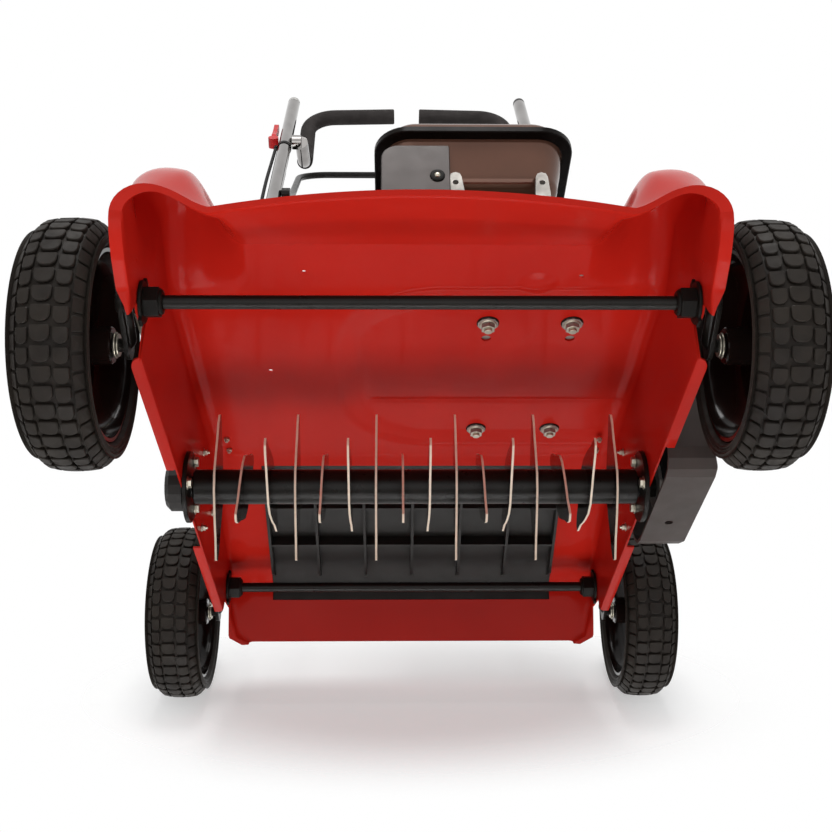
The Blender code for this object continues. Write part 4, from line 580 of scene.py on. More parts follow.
def piece(obj, finish, body, replaces=(), width=0.0, segments=2):
    """Finish a scene piece: paint, rounded edges, the body that it rides on and what it stands for."""
    obj.data.materials.clear()
    obj.data.materials.append(FINISH[finish])
    soften(obj, width, segments)
    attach(obj, body)
    if replaces:
        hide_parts(*replaces)


# Pressed deck

def arch_height(x):
    across = min(abs(x), RIM_DIP_X)
    return RIM_DIP_Z + (RIM_CENTRE_Z - RIM_DIP_Z) * (1.0 - (across / RIM_DIP_X) ** 2)


def panel_height(x, place):
    rise = min(1.0, max(0.0, (place - RIM_STATION) / (CREASE_STATION - RIM_STATION)))
    return arch_height(x) + (CEILING_Z - arch_height(x)) * rise


def ramp(value, width):
    """Straight ramp from 0 to 1 over a width, with short rounded ends."""
    t = min(1.0, max(0.0, value / width))
    turn = 0.16
    if t < turn:
        share = t * t / (2.0 * turn)
    elif t > 1.0 - turn:
        share = 1.0 - turn - (1.0 - t) ** 2 / (2.0 * turn)
    else:
        share = t - turn / 2.0
    return share / (1.0 - turn)


def platform_height(x, place):
    """Pressed engine platform: wide ramps round it, a shallow pillow and a groove across it."""
    half = (PLATFORM_REAR - PLATFORM_FRONT) / 2
    off = abs(place - PLATFORM_FRONT - half)
    in_x = max(0.0, PLATFORM_LEFT_X + PLATFORM_CORNER - x)
    in_y = max(0.0, off - half + PLATFORM_CORNER)
    if in_x > 0.0 and in_y > 0.0:
        edge = PLATFORM_CORNER - math.hypot(in_x, in_y)
    else:
        edge = min(x - PLATFORM_LEFT_X, half - off)
    width = 0.038 - 0.014 * smooth_step(place, 0.070, 0.140)
    inside = ramp(edge - width, 0.010)
    pillow = 0.0016 * math.sin(math.pi * min(1.0, max(0.0, (place - 0.150) / 0.100)))
    groove = 0.0012 * max(0.0, 1.0 - abs(place - 0.2505) / 0.0040)
    rise = (0.38 * ramp(edge, 0.006) + 0.34 * ramp(edge - 0.005, width - 0.010)
            + 0.28 * ramp(edge - width + 0.006, 0.006))
    return PLATFORM_RISE * rise - pillow * inside + groove * inside


def boss_height(x, place):
    """Round boss pressed downwards in front of the platform."""
    away = math.hypot(x - BOSS_X, place - BOSS_STATION) / BOSS_RADIUS
    return -BOSS_DEPTH * max(0.0, 1.0 - away * away)


def ridge_height(place):
    """Top of the fender domes: up from the front rim, then down behind the wheels."""
    if place < DOME_STATION:
        share = math.sin(math.pi / 2 * (place - RIM_STATION) / (DOME_STATION - RIM_STATION))
        return RIM_HUMP_Z + (DOME_TOP_Z - RIM_HUMP_Z) * share
    return CEILING_Z + (DOME_TOP_Z - CEILING_Z) * (1.0 - smooth_step(place, DOME_STATION, DOME_END))


def dome_height(x, place):
    """How far the domes over the front wheels stand above the panel."""
    back = smooth_step(place, RIM_STATION, -0.080)
    rim = smooth_step(abs(x), 0.152, RIM_HUMP_X)
    outwards = min(1.0, max(0.0, (abs(x) - 0.147) / 0.0565))
    ball = math.sqrt(1.0 - (1.0 - outwards) ** 2) * smooth_step(abs(x), 0.138, 0.188)
    across = rim + (ball - rim) * back
    return across * (ridge_height(place) - panel_height(RIM_DIP_X, place))


def deck_top(x, place):
    if place < CREASE_STATION:
        flat = panel_height(x, place)
    else:
        flat = follow(place, ((CREASE_STATION, CEILING_Z), (SLOPE_START, CEILING_Z), (SLOPE_END, SLOPE_END_Z),
                              (APRON_END, APRON_Z)))
    return flat + dome_height(x, place) + platform_height(x, place) + boss_height(x, place)


def skirt_height(place):
    return follow(place, ((RIM_STATION, RIM_SIDE_Z), (-0.1185, 0.1292), (-0.1150, 0.1245), (-0.1080, 0.1182),
                          (-0.096, 0.1105), (-0.072, 0.1005), (-0.062, 0.0865), (-0.053, 0.1015),
                          (-0.047, 0.1075), (-0.040, 0.1040), (-0.033, 0.1040), (-0.026, 0.1075), (-0.021, 0.112),
                          (-0.0140, 0.113), (-0.0132, SKIRT_Z), (0.508, SKIRT_Z), (0.516, 0.097),
                          (SLOPE_END, 0.105), (APRON_END, APRON_Z - 0.004)))


def bulge(place, z):
    """How far the fender dome's outer side swells past the wall."""
    share = min(1.0, max(0.0, (place - RIM_STATION) / 0.110))
    return 0.0085 * math.sin(math.pi * share) * smooth_step(z, 0.150, 0.200)


def half_width(place):
    return follow(place, ((RIM_STATION, DECK_HALF_WIDTH), (SLOPE_END + 0.006, DECK_HALF_WIDTH),
                          (APRON_END - 0.004, DECK_HALF_WIDTH - 0.009), (APRON_END, DECK_HALF_WIDTH - 0.024)))


def corner_radius(place):
    return follow(place, ((RIM_STATION, 0.020), (-0.067, 0.0235), (-0.040, 0.026), (0.040, 0.015), (0.450, 0.015),
                          (0.507, 0.007)))


def lip_width(place):
    full = LIP - LIP_STUB
    if place < -0.040:
        return LIP_STUB + full * (1.0 - smooth_step(place, -0.074, -0.060))
    share = min(1.0, max(0.0, (place + 0.0132) / 0.0150))
    return LIP_STUB + full * math.sqrt(share * (2.0 - share))


# Faces across half the top, round its edge and down the wall
TOP_COUNT = 75
ARC_COUNT = 8
WALL_COUNT = 5


def deck_section(place, side, lip):
    """Half section from the middle out to the lip, as (x, z) points."""
    wall = half_width(place)
    low = skirt_height(place)
    radius = corner_radius(place)
    crown = deck_top(side * (wall - radius), place)
    drop = min(radius, crown - low - 0.002)
    swell = bulge(place, crown - drop)
    inner = wall + swell - radius
    points = [(inner * i / TOP_COUNT, deck_top(side * inner * i / TOP_COUNT, place))
              for i in range(TOP_COUNT + 1)]
    crown = points[-1][1]
    for i in range(1, ARC_COUNT + 1):
        angle = math.pi / 2 * i / ARC_COUNT
        points.append((inner + radius * math.sin(angle), crown - drop * (1.0 - math.cos(angle))))
    upper = points[-1][1]
    foot = low + min(0.003, (upper - low) * 0.4)
    for i in range(1, WALL_COUNT + 1):
        z = upper + (foot - upper) * i / WALL_COUNT
        points.append((wall + bulge(place, z), z))
    points.append((wall + 0.0004, low + 0.0009))
    points.append((wall + 0.3 * lip, low))
    points.append((wall + lip, low))
    return points


def rim_flange(section):
    """Outer edge of the flange turned outwards along the front rim, up to the foot of the wall."""
    last = len(section) - 4
    edge = []
    for i in range(last + 1):
        before, after = section[max(i - 1, 0)], section[i + 1 if i < last else i]
        along = Vector((after[0] - before[0], after[1] - before[1])).normalized()
        down = smooth_step(section[i][0], RIM_HUMP_X - 0.008, DECK_HALF_WIDTH - 0.001)
        width = RIM_FLANGE + (LIP - RIM_FLANGE) * down
        edge.append((section[i][0] - along.y * width if i else 0.0, section[i][1] + along.x * width))
    edge[-1] = (edge[-1][0], section[last][1])
    return edge


def deck_places():
    """Stations of the deck's sections: denser towards the front, where the pressing is finer."""
    knots = [RIM_STATION, -0.1185, -0.1150, -0.1080, -0.096, -0.074, -0.062, -0.053, -0.047, -0.040, -0.033,
             -0.026, -0.021, -0.0140, -0.0132, CREASE_STATION, 0.0018, PLATFORM_FRONT, PLATFORM_FRONT + 0.006,
             0.085, 0.091, 0.150, 0.2465, 0.2505, 0.2545, 0.305, 0.311, PLATFORM_REAR - 0.006, PLATFORM_REAR,
             SLOPE_START, 0.450, 0.508, 0.516, SLOPE_END, SLOPE_END + 0.006, APRON_END - 0.004, APRON_END]
    places = []
    for a, b in zip(knots, knots[1:]):
        pitch = 0.0030 if b < 0.10 else 0.005 if b < 0.34 else 0.010
        count = max(1, math.ceil((b - a) / pitch - 0.01))
        places += [a + (b - a) * i / count for i in range(count)]
    return places + [APRON_END]


def engine_bolt_places():
    for x in (-BOLT_SPREAD_X, BOLT_SPREAD_X):
        for y in (-BOLT_SPREAD_Y, BOLT_SPREAD_Y):
            yield ENGINE_X + x, BOLT_STATION + y


# Round holes in the deck's top: x, station, radius
DECK_HOLES = ((-0.0983, 0.0314, 0.0020), (0.1419, 0.0370, 0.0022), (-0.1404, 0.187, 0.0024),
              (0.0660, 0.1400, 0.0045), (0.1450, 0.1400, 0.0045))
# Notches in the lips, by side: from a station to a station, between two heights
LIP_NOTCHES = {
    -1: ((0.168, 0.335, 0.070, 0.090), (0.511, 0.590, 0.060, 0.115)),
    1: ((0.127, 0.335, 0.070, 0.090), (0.511, 0.590, 0.060, 0.115)),
}
# Bores through the side walls: station, height, radius
WALL_BORES = ((FRONT_AXLE, AXLE_Z, 0.0098), (REAR_AXLE, AXLE_Z, 0.0098),
              (ROTOR_STATION, ROTOR_Z, BEARING_RADIUS + GAP), (-0.065, 0.134, 0.0016))


def mirrored(make):
    """A half section for each side, joined in the middle, as (x, z) points from left to right."""
    return [(-x, z) for x, z in reversed(make(-1))] + make(1)[1:]


def deck_shell():
    """Top, walls, lip and front flange as one sheet."""
    bm = bmesh.new()
    rows = []
    for place in deck_places():
        lip = lip_width(place)
        rows.append([bm.verts.new((x, station(place), z))
                     for x, z in mirrored(lambda side: deck_section(place, side, lip))])
    skin(bm, rows, False)
    y = station(RIM_STATION) - GAP
    flange = mirrored(lambda side: rim_flange(deck_section(RIM_STATION, side, LIP)))
    edge = [bm.verts.new((x, y, z)) for x, z in flange]
    first = rows[0]
    skin(bm, [edge, first[3:]], False)
    bm.faces.new((edge[0], first[3], first[2], first[1], first[0]))
    bm.faces.new((first[-1], first[-2], first[-3], first[-4], edge[-1]))
    shell = mesh_object("deck_shell", bm)
    sheet = shell.modifiers.new("sheet", "SOLIDIFY")
    sheet.thickness = SHEET
    sheet.offset = -1.0
    return applied(shell)


def deck():
    """Pressed deck: the shell with its notches, discharge opening, bores and holes."""
    gaps, bores, mouths = [], [], []
    reach = BEARING_RADIUS + GAP
    for side in (-1, 1):
        xs = sorted((side * (DECK_HALF_WIDTH + LIP_STUB), side * (DECK_HALF_WIDTH + LIP + 0.010)))
        for start, end, low, high in LIP_NOTCHES[side]:
            gaps.append(((xs[0], station(start), low), (xs[1], station(end), high)))
        x = side * DECK_HALF_WIDTH
        bores += [((x, station(place), z), radius, 0.030) for place, z, radius in WALL_BORES]
        mouths.append(((x - 0.012, station(ROTOR_STATION) - reach, 0.060),
                       (x + 0.014, station(ROTOR_STATION) + reach, ROTOR_Z)))
    gaps.append(((-OPENING_HALF_WIDTH, station(OPENING_START), OPENING_SILL_Z),
                 (OPENING_HALF_WIDTH, station(APRON_END + 0.02), 0.250)))
    holes = [((x, station(place), CEILING_Z), radius, 0.040) for x, place, radius in DECK_HOLES]
    made = deck_shell()
    for tool in (blocks("deck_notches", gaps), rods("deck_bores", bores, "X", 32),
                 rods("deck_holes", holes, "Z", 20), blocks("bearing_mouths", mouths)):
        made = cut_by(made, tool)
    piece(made, "red", "chassis", ["deck_housing"])
    keep_faces_flat(made)


# Wheels

TREAD_ROWS = 42
TREAD_HEIGHT = 0.0032
BLOCK_LENGTH = 0.0125
BLOCK_CORNER = 0.0010
TYRE_STEPS = 96
CROWN_HALF = 0.016
CROWN_DROP = 0.0014
SHOULDER_WIDTH = 0.0115
SHOULDER_DROP = 0.0106
# Columns of blocks: from and to across the tread, shift in rows, roundness of the leading corners
BLOCK_COLUMNS = (
    (0.0012, 0.0080, 0.50, 0.15),
    (0.0096, 0.0208, 0.10, 0.55),
    (0.0226, 0.0372, 0.00, 0.60),
    (0.0388, 0.0478, 0.12, 0.55),
    (0.0489, 0.0540, 0.45, 0.15),
)


def crown_radius(across):
    """Tyre radius over the blocks at a place across the tread."""
    off = abs(across - WHEEL_WIDTH / 2)
    if off <= CROWN_HALF:
        return WHEEL_RADIUS - CROWN_DROP * (off / CROWN_HALF) ** 2
    return WHEEL_RADIUS - CROWN_DROP - SHOULDER_DROP * ((off - CROWN_HALF) / SHOULDER_WIDTH) ** 1.6


def tread_block(bm, place, low, high, start, end, round_share):
    """One block on the tread; its leading corners are wide and its trailing ones tight."""
    span = high - low
    radius = min(span, end - start) * round_share * 0.8
    tight = BLOCK_CORNER
    outline = arc((low + radius, end - radius), radius, 180, 90, 4)
    outline += arc((high - radius, end - radius), radius, 90, 0, 4)
    outline += arc((high - tight, start + tight), tight, 0, -90, 1)
    outline += arc((low + tight, start + tight), tight, 270, 180, 1)
    centre_w = (low + high) / 2
    centre_s = (start + end) / 2
    rings = []
    for shrink, height in ((1.0, -TREAD_HEIGHT - 0.0004), (1.0, -0.0006), (0.90, 0.0)):
        ring = []
        for w, s in outline:
            across = centre_w + (w - centre_w) * shrink
            ring.append(bm.verts.new(place(across, centre_s + (s - centre_s) * shrink, height)))
        rings.append(ring)
    skin(bm, rings)
    bm.faces.new(rings[-1])


def tyre(name, body, node, side, centre_station):
    """Lugged tyre: rows of rounded blocks on the crown, ridged side walls."""
    bm = bmesh.new()
    bead = WHEEL_RADIUS - TYRE_WALL
    width = WHEEL_WIDTH
    section = [(bead, 0.0030), (bead + 0.0020, -0.0006), (bead + 0.0034, -0.0012), (bead + 0.0046, -0.0004),
               (bead + 0.0060, -0.0020), (bead + 0.0074, -0.0014), (bead + 0.0088, -0.0026),
               (bead + 0.0106, -0.0016), (bead + 0.0122, -0.0018)]
    floor = [(crown_radius(w) - TREAD_HEIGHT, w) for w in (0.0012, 0.004, 0.008, 0.014, 0.0275)]
    half = section + floor
    outline = half + [(r, width - h) for r, h in reversed(half[:-1])]
    centre = Vector((0.0, station(centre_station), WHEEL_RADIUS))

    def place_at(radius, height, angle):
        return (side * (WHEEL_INNER_X + height), centre.y + radius * math.cos(angle),
                centre.z + radius * math.sin(angle))

    rings = []
    for i in range(TYRE_STEPS):
        angle = 2.0 * math.pi * i / TYRE_STEPS
        rings.append([bm.verts.new(place_at(r, h, angle)) for r, h in outline])
    skin(bm, rings + rings[:1])
    pitch = 2.0 * math.pi * WHEEL_RADIUS / TREAD_ROWS
    for row in range(TREAD_ROWS):
        for low, high, shift, round_share in BLOCK_COLUMNS:
            first = pitch * (row + shift)

            def on_crown(across, along, height):
                return place_at(crown_radius(across) + height, across, along / WHEEL_RADIUS)

            tread_block(bm, on_crown, low, high, first, first + BLOCK_LENGTH, round_share)
    bmesh.ops.recalc_face_normals(bm, faces=bm.faces)
    piece(mesh_object(name, bm), "rubber", body, [node])


def rim(name, body, node, side, centre_station):
    """Dished plastic rim: hub, cone-shaped disc and barrel with rolled edges."""
    outer = WHEEL_RADIUS - TYRE_WALL - GAP
    inner = outer - RIM_BARREL
    hub = HUB_RADIUS
    bore = AXLE_RADIUS + GAP
    top = WHEEL_WIDTH - 0.003
    profile = [(bore, HUB_OUTER), (hub - 0.001, HUB_OUTER), (hub, HUB_OUTER - 0.001), (hub + 0.002, 0.0345),
               (hub + 0.006, 0.0338), (inner - 0.020, 0.0375), (inner - 0.006, 0.0392), (inner, 0.0410),
               (inner, top - 0.001), (inner + 0.001, top), (outer, top), (outer, 0.0030),
               (outer - 0.001, 0.0022), (inner - 0.001, 0.0024), (inner - 0.0010, 0.0060),
               (inner - 0.0028, 0.0130), (inner - 0.010, 0.0230), (inner - 0.026, 0.0290), (hub + 0.005, 0.0300),
               (hub + 0.001, 0.0260), (hub, 0.0010), (hub - 0.001, 0.0), (bore, 0.0)]
    obj = turned_x(name, [(r, WHEEL_INNER_X + h) for r, h in profile],
                   (0.0, station(centre_station), WHEEL_RADIUS), side, 72)
    piece(obj, "rim", body, [node])


# Cranked axles

def axle(end, place, lever_length):
    """Cranked axle: rod, stubs, flat crank arms, washers, nuts and the plate for the link bar."""
    body = end + "_axle"
    y = station(place)
    wheel_y = y + AXLE_BACK
    stub = WHEEL_INNER_X + WHEEL_WIDTH - 0.004
    corners = [(-stub, wheel_y, WHEEL_RADIUS), (-CRANK_X, wheel_y, WHEEL_RADIUS), (-CRANK_X, y, AXLE_Z),
               (CRANK_X, y, AXLE_Z), (CRANK_X, wheel_y, WHEEL_RADIUS), (stub, wheel_y, WHEEL_RADIUS)]
    bm = bmesh.new()
    tube_mesh(bm, bent_path(corners, AXLE_BEND, 8), AXLE_RADIUS, 20)
    rod = mesh_object("rod", bm)
    along = Vector((0.0, math.cos(LINK_ANGLE), math.sin(LINK_ANGLE)))
    foot = Vector((-(LINK_PLATE_X + LINK_PLATE / 2), y, AXLE_Z))
    strap = flat_bar([foot, foot + along * lever_length], LINK_PLATE_HALF, LINK_PLATE)
    pin = rods("pin", [((-(LINK_PLATE_X + 0.0045), y + along.y * LINK_RADIUS, AXLE_Z + along.z * LINK_RADIUS),
                        0.004, 0.0075)], "X", 20)
    arms = [flat_bar([(x, y, AXLE_Z), (x, wheel_y, WHEEL_RADIUS)], CRANK_PLATE_HALF, CRANK_PLATE)
            for x in (-CRANK_PLATE_X, CRANK_PLATE_X)]
    shape = joined(end + "_axle_rod_bent", [rod, strap, pin] + arms)
    piece(shape, "black", body, [end + "_axle_rod"], 0.0004)
    bits = []
    for side in (-1, 1):
        inner = WHEEL_INNER_X - 0.0010
        bits.append(rods("washer", [((side * (inner - 0.0010), wheel_y, WHEEL_RADIUS), 0.0105, 0.0015),
                                    ((side * (inner - 0.0030), wheel_y, WHEEL_RADIUS), 0.0092, 0.0015)], "X", 28))
        nut = WHEEL_INNER_X + HUB_OUTER + GAP
        bits.append(rods("nut", [((side * (nut + 0.0035), wheel_y, WHEEL_RADIUS), 0.0095, 0.006)], "X", 6))
    piece(joined(end + "_axle_fasteners", bits), "zinc", body, (), 0.0004)


def flat_bar(ends, half, thickness):
    """Flat bar with round ends in the YZ plane."""
    first, last = Vector(ends[0]), Vector(ends[1])
    along = (last - first).normalized()
    tilt = math.degrees(math.atan2(along.z, along.y))
    outline = arc((last.y, last.z), half, tilt - 90, tilt + 90, 10)
    outline += arc((first.y, first.z), half, tilt + 90, tilt + 270, 10)
    return prism("flat_bar", outline, first.x - thickness / 2, first.x + thickness / 2)


def prism(name, outline, low, high, axis="X"):
    """An outline given thickness along X (outline in y, z), Y (x, z) or Z (x, y)."""
    def at(u, v, w):
        if axis == "X":
            return (w, u, v)
        if axis == "Y":
            return (u, w, v)
        return (u, v, w)

    bm = bmesh.new()
    near = [bm.verts.new(at(u, v, low)) for u, v in outline]
    far = [bm.verts.new(at(u, v, high)) for u, v in outline]
    bm.faces.new(list(reversed(near)))
    bm.faces.new(far)
    skin(bm, [near, far])
    return welded(name, bm)


# Rotor

def knife_outline(turn):
    """Two-armed knife about its middle, turned by an angle."""
    swing = KNIFE_SWING
    half = [(swing, -0.0035), (swing + 0.0002, 0.0010), (swing - 0.001, 0.0045), (0.060, 0.0098),
            (0.044, 0.0148), (0.028, 0.0215), (0.010, KNIFE_WAIST - 0.002), (-0.006, 0.0275), (-0.024, 0.0215),
            (-0.036, 0.0165), (-0.050, 0.0095)]
    points = half + [(-u, -v) for u, v in half]
    cos, sin = math.cos(turn), math.sin(turn)
    return [(u * cos - v * sin, u * sin + v * cos) for u, v in points]


def rotor():
    end = ROTOR_HALF_LENGTH
    centre = (0.0, station(ROTOR_STATION), ROTOR_Z)
    radius = ROTOR_TUBE_RADIUS
    profile = [(0.0001, PULLEY_X + PULLEY_WIDTH), (SHAFT_RADIUS, PULLEY_X + PULLEY_WIDTH), (SHAFT_RADIUS, end),
               (radius - 0.0015, end), (radius, end - 0.0015)]
    first_x = -KNIFE_PITCH * (KNIFE_COUNT - 1) / 2
    left = -(DECK_HALF_WIDTH + 0.010)
    profile += [(radius, 0.0015 - end), (radius - 0.0015, -end), (SHAFT_RADIUS, -end), (SHAFT_RADIUS, left),
                (0.0001, left)]
    tube = turned_x("rotor_tube", profile, centre, 1, 40, closed=False)
    piece(tube, "black", "rotor", ["knife_rotor"])
    plates = []
    for i in range(KNIFE_COUNT):
        turn = KNIFE_FIRST - KNIFE_STEP * i
        outline = [(centre[1] + u, centre[2] + v) for u, v in knife_outline(turn)]
        x = first_x + KNIFE_PITCH * i
        plates.append(prism("knife", outline, x - KNIFE_PLATE / 2, x + KNIFE_PLATE / 2))
    knives = joined("knives", plates)
    piece(knives, "knife_face_painted_shade", "rotor", ())
    # The flat sides of each knife get the darkened steel, a painted shade; the thin edge faces get the near-white
    # painted highlight.
    knives.data.materials.append(FINISH["knife_edge_painted_highlight"])
    for polygon in knives.data.polygons:
        polygon.material_index = 0 if abs(polygon.normal.x) > 0.9 else 1


def bearings():
    for word, side in SIDES:
        inner = DECK_HALF_WIDTH - SHEET - GAP
        outer = DECK_HALF_WIDTH + 0.0015
        bore = SHAFT_RADIUS + GAP
        rim_in = inner - BEARING_PLATE
        profile = [(bore, outer), (BEARING_RADIUS, outer), (BEARING_RADIUS, inner), (BEARING_FLANGE, inner),
                   (BEARING_FLANGE, rim_in + 0.0008), (BEARING_FLANGE - 0.0008, rim_in), (0.0205, rim_in),
                   (0.0190, rim_in), (bore, rim_in)]
        centre = (0.0, station(ROTOR_STATION), ROTOR_Z)
        obj = turned_x("rotor_bearing_" + word + "_turned", profile, centre, side, 56)
        piece(obj, "black", "chassis", ["rotor_bearing_" + word])
        heads = []
        washers = []
        for angle in BEARING_BOLT_ANGLES:
            turn = math.radians(angle)
            y = centre[1] + BEARING_BOLT_CIRCLE * math.cos(turn)
            z = centre[2] + BEARING_BOLT_CIRCLE * math.sin(turn)
            heads.append(((side * (rim_in - 0.0024), y, z), 0.0048, 0.0032))
            washers.append(((side * (rim_in - 0.0005), y, z), 0.0064, 0.0008))
        fasteners = joined("rotor_bearing_" + word + "_bolts", [rods("heads", heads, "X", 6),
                                                                rods("washers", washers, "X", 24)])
        piece(fasteners, "zinc", "chassis", (), 0.0003)


def bushings():
    """Moulded axle bushings: flange on the wall, hexagon boss with a collar, two lugs."""
    for end, place in (("front", FRONT_AXLE), ("rear", REAR_AXLE)):
        for word, side in SIDES:
            y = station(place)
            inner = DECK_HALF_WIDTH - SHEET - GAP
            bore = AXLE_RADIUS + GAP
            profile = [(bore, inner + 0.0055), (0.0085, inner + 0.0055), (0.0092, inner + 0.0048),
                       (0.0092, inner - 0.0002), (0.0170, inner - 0.0002), (0.0170, inner - 0.0022),
                       (0.0162, inner - 0.0030), (0.0135, inner - 0.0030), (bore, inner - 0.0030)]
            flange = turned_x("flange", profile, (0.0, y, AXLE_Z), side, 56)
            low, high = (inner - 0.0148, inner - 0.0028)
            outline = [(y + 0.0130 * math.cos(t), AXLE_Z + 0.0130 * math.sin(t))
                       for t in [math.radians(30.0 + 60.0 * i) for i in range(6)]]
            boss = prism("boss", outline, *sorted((side * low, side * high)))
            ring = [(bore, low - 0.0026), (0.0088, low - 0.0026), (0.0100, low - 0.0014), (0.0100, low + 0.0004),
                    (bore, low + 0.0004)]
            collar = turned_x("collar", ring, (0.0, y, AXLE_Z), side, 40)
            lugs = []
            for reach in (0.0165, -0.0205):
                xs = sorted((side * (inner - 0.0030), side * (inner - 0.0001)))
                lugs.append(((xs[0], y - 0.004, AXLE_Z + reach), (xs[1], y + 0.004, AXLE_Z + reach + 0.004)))
            obj = joined(end + "_bushing_" + word + "_turned", [flange, boss, collar, blocks("lugs", lugs)])
            piece(obj, "bushing", "chassis", [end + "_bushing_" + word], 0.0005)


# Screws in the side walls: station, height, radius of the head
WALL_SCREWS = ((0.290, 0.165, 0.0029), (0.318, 0.093, 0.0032), (0.372, 0.137, 0.0030))
BRACKET_BOLT_X = 0.1985
BRACKET_BOLT_STATIONS = (0.318, 0.341)


def wall_screws():
    """Zinc screws through the deck's side walls and the bolts of the handle brackets."""
    bits = []
    inner = DECK_HALF_WIDTH - SHEET
    for side in (-1, 1):
        for place, z, radius in WALL_SCREWS:
            for in_by, size, length, sides in ((0.0004, radius + 0.0012, 0.0008, 24), (0.0024, radius, 0.0032, 6),
                                               (0.0050, radius * 0.5, 0.0024, 14)):
                centre = (side * (inner - in_by), station(place), z)
                bits.append(rods("layer", [(centre, size, length)], "X", sides))
        for place in BRACKET_BOLT_STATIONS:
            for down, radius, sides in ((0.0016, 0.0032, 6), (0.0038, 0.0017, 14)):
                centre = (side * BRACKET_BOLT_X, station(place), CEILING_Z - SHEET - down)
                bits.append(rods("layer", [(centre, radius, 0.0026)], "Z", sides))
    piece(joined("wall_screws", bits), "zinc", "chassis", (), 0.0003)


def engine_bolts():
    """Bolts under the engine: serrated washers, hexagon nuts and the bolts' ends."""
    bits = []
    washers = []
    under = CEILING_Z + PLATFORM_RISE - SHEET
    washer = [(0.0, 0.0), (0.0105, 0.0), (0.0105, -0.0010), (0.0088, -0.0022), (0.0, -0.0022)]
    collar = [(0.0, -0.0020), (0.0084, -0.0020), (0.0078, -0.0034), (0.0, -0.0034)]
    for x, place in engine_bolt_places():
        y = station(place)
        seat = Matrix.Translation((x, y, under))
        washers.append(turned("washer", washer, seat, 36, False))
        bits.append(turned("collar", collar, seat, 36, False))
        bits.append(rods("nut", [((x, y, under - 0.0056), 0.0064, 0.0048)], "Z", 6))
        bits.append(rods("stud", [((x, y, under - 0.0090), 0.0037, 0.0030)], "Z", 20))
    piece(joined("engine_mount_nuts", bits), "zinc", "chassis", (), 0.0004)
    piece(joined("engine_mount_washers", washers), "black", "chassis", (), 0.0003)


# Handle

def leg_station(z):
    return LEG_TOP_STATION - (LEG_TOP_Z - z) * LEG_RUN


LEG_WAY = Vector((0.0, LEG_RUN, 1.0)).normalized()
LEG_TURN = LEG_WAY.to_track_quat("Z", "X").to_matrix().to_4x4()


def on_leg(side, z):
    """Matrix whose Z axis runs up the leg at a height."""
    return Matrix.Translation((side * LEG_X, station(leg_station(z)), z)) @ LEG_TURN


def legs():
    for word, side in SIDES:
        length = (LEG_TOP_Z - LEG_FOOT_Z) / LEG_WAY.z
        wall = LEG_RADIUS - 0.0016
        profile = [(0.0, 0.0), (LEG_RADIUS - 0.0005, 0.0), (LEG_RADIUS, 0.0005), (LEG_RADIUS, length - 0.0005),
                   (LEG_RADIUS - 0.0004, length), (wall, length), (wall, length - 0.004), (0.0, length - 0.004)]
        obj = turned("handle_leg_" + word + "_round", profile, on_leg(side, LEG_FOOT_Z), 40, False)
        piece(obj, "tube", "chassis", ["handle_leg_" + word])
        plug = [(0.0, PLUG_LENGTH), (LEG_RADIUS - 0.0030, PLUG_LENGTH),
                (LEG_RADIUS - 0.0012, PLUG_LENGTH - 0.0008), (LEG_RADIUS - 0.0003, PLUG_LENGTH - 0.0030),
                (LEG_RADIUS, 0.0006), (LEG_RADIUS - 0.0004, 0.0), (0.0, 0.0)]
        cap = turned("leg_plug_" + word + "_round", plug, on_leg(side, LEG_TOP_Z + GAP), 40, False)
        piece(cap, "pale_plug" if side < 0 else "plastic", "chassis", ["leg_plug_" + word])


def grip_path(side):
    """Centre line of an upper bar, from its fold bolt round to the middle of the machine."""
    fold = leg_station(FOLD_Z)
    x = side * GRIP_X
    return bent_path([(x, station(fold), FOLD_Z), (x, station(GRIP_KNEE[0]), GRIP_KNEE[1]),
                      (x, station(GRIP_TOP[0]), GRIP_TOP[1]),
                      (side * GRIP_GAP, station(GRIP_TOP[0]), GRIP_END_Z)], GRIP_BEND, 14)


def grips():
    for word, side in SIDES:
        body = "grip_" + word
        path = grip_path(side)
        bm = bmesh.new()
        tube_mesh(bm, path, GRIP_TUBE_RADIUS, 28, True, (1.0, 0.0, 0.0))
        bar = mesh_object("bar", bm)
        end = LEG_X - LEG_RADIUS - GAP
        boss = rods("boss", [((side * (GRIP_X + end) / 2, path[0].y, path[0].z), 0.011, end - GRIP_X)], "X", 40)
        piece(joined("grip_bar_" + word + "_bent", [bar, boss]), "tube", body, ["grip_bar_" + word],
              0.0004)
        rest = path[FOAM_START:]
        bm = bmesh.new()
        inner, outer = GRIP_TUBE_RADIUS + GAP, FOAM_RADIUS
        last = len(rest) - 1
        first = rest[0] + (rest[1] - rest[0]) * 0.02
        back = rest[-1] + (rest[-2] - rest[-1]).normalized() * 0.0015
        sleeve = [rest[0], first] + rest[1:last] + [back, rest[-1]]
        radii = [outer - FOAM_ROUNDING] + [outer] * (last + 1) + [outer - FOAM_ROUNDING]
        outsides = tube_mesh(bm, sleeve, radii, 36, False, (1.0, 0.0, 0.0))
        cores = tube_mesh(bm, sleeve, inner, 36, False, (1.0, 0.0, 0.0))
        for i in (0, -1):
            skin(bm, [outsides[i], cores[i]])
        bmesh.ops.recalc_face_normals(bm, faces=bm.faces)
        piece(mesh_object("foam_grip_" + word + "_sleeve", bm), "foam", body, ["foam_grip_" + word])


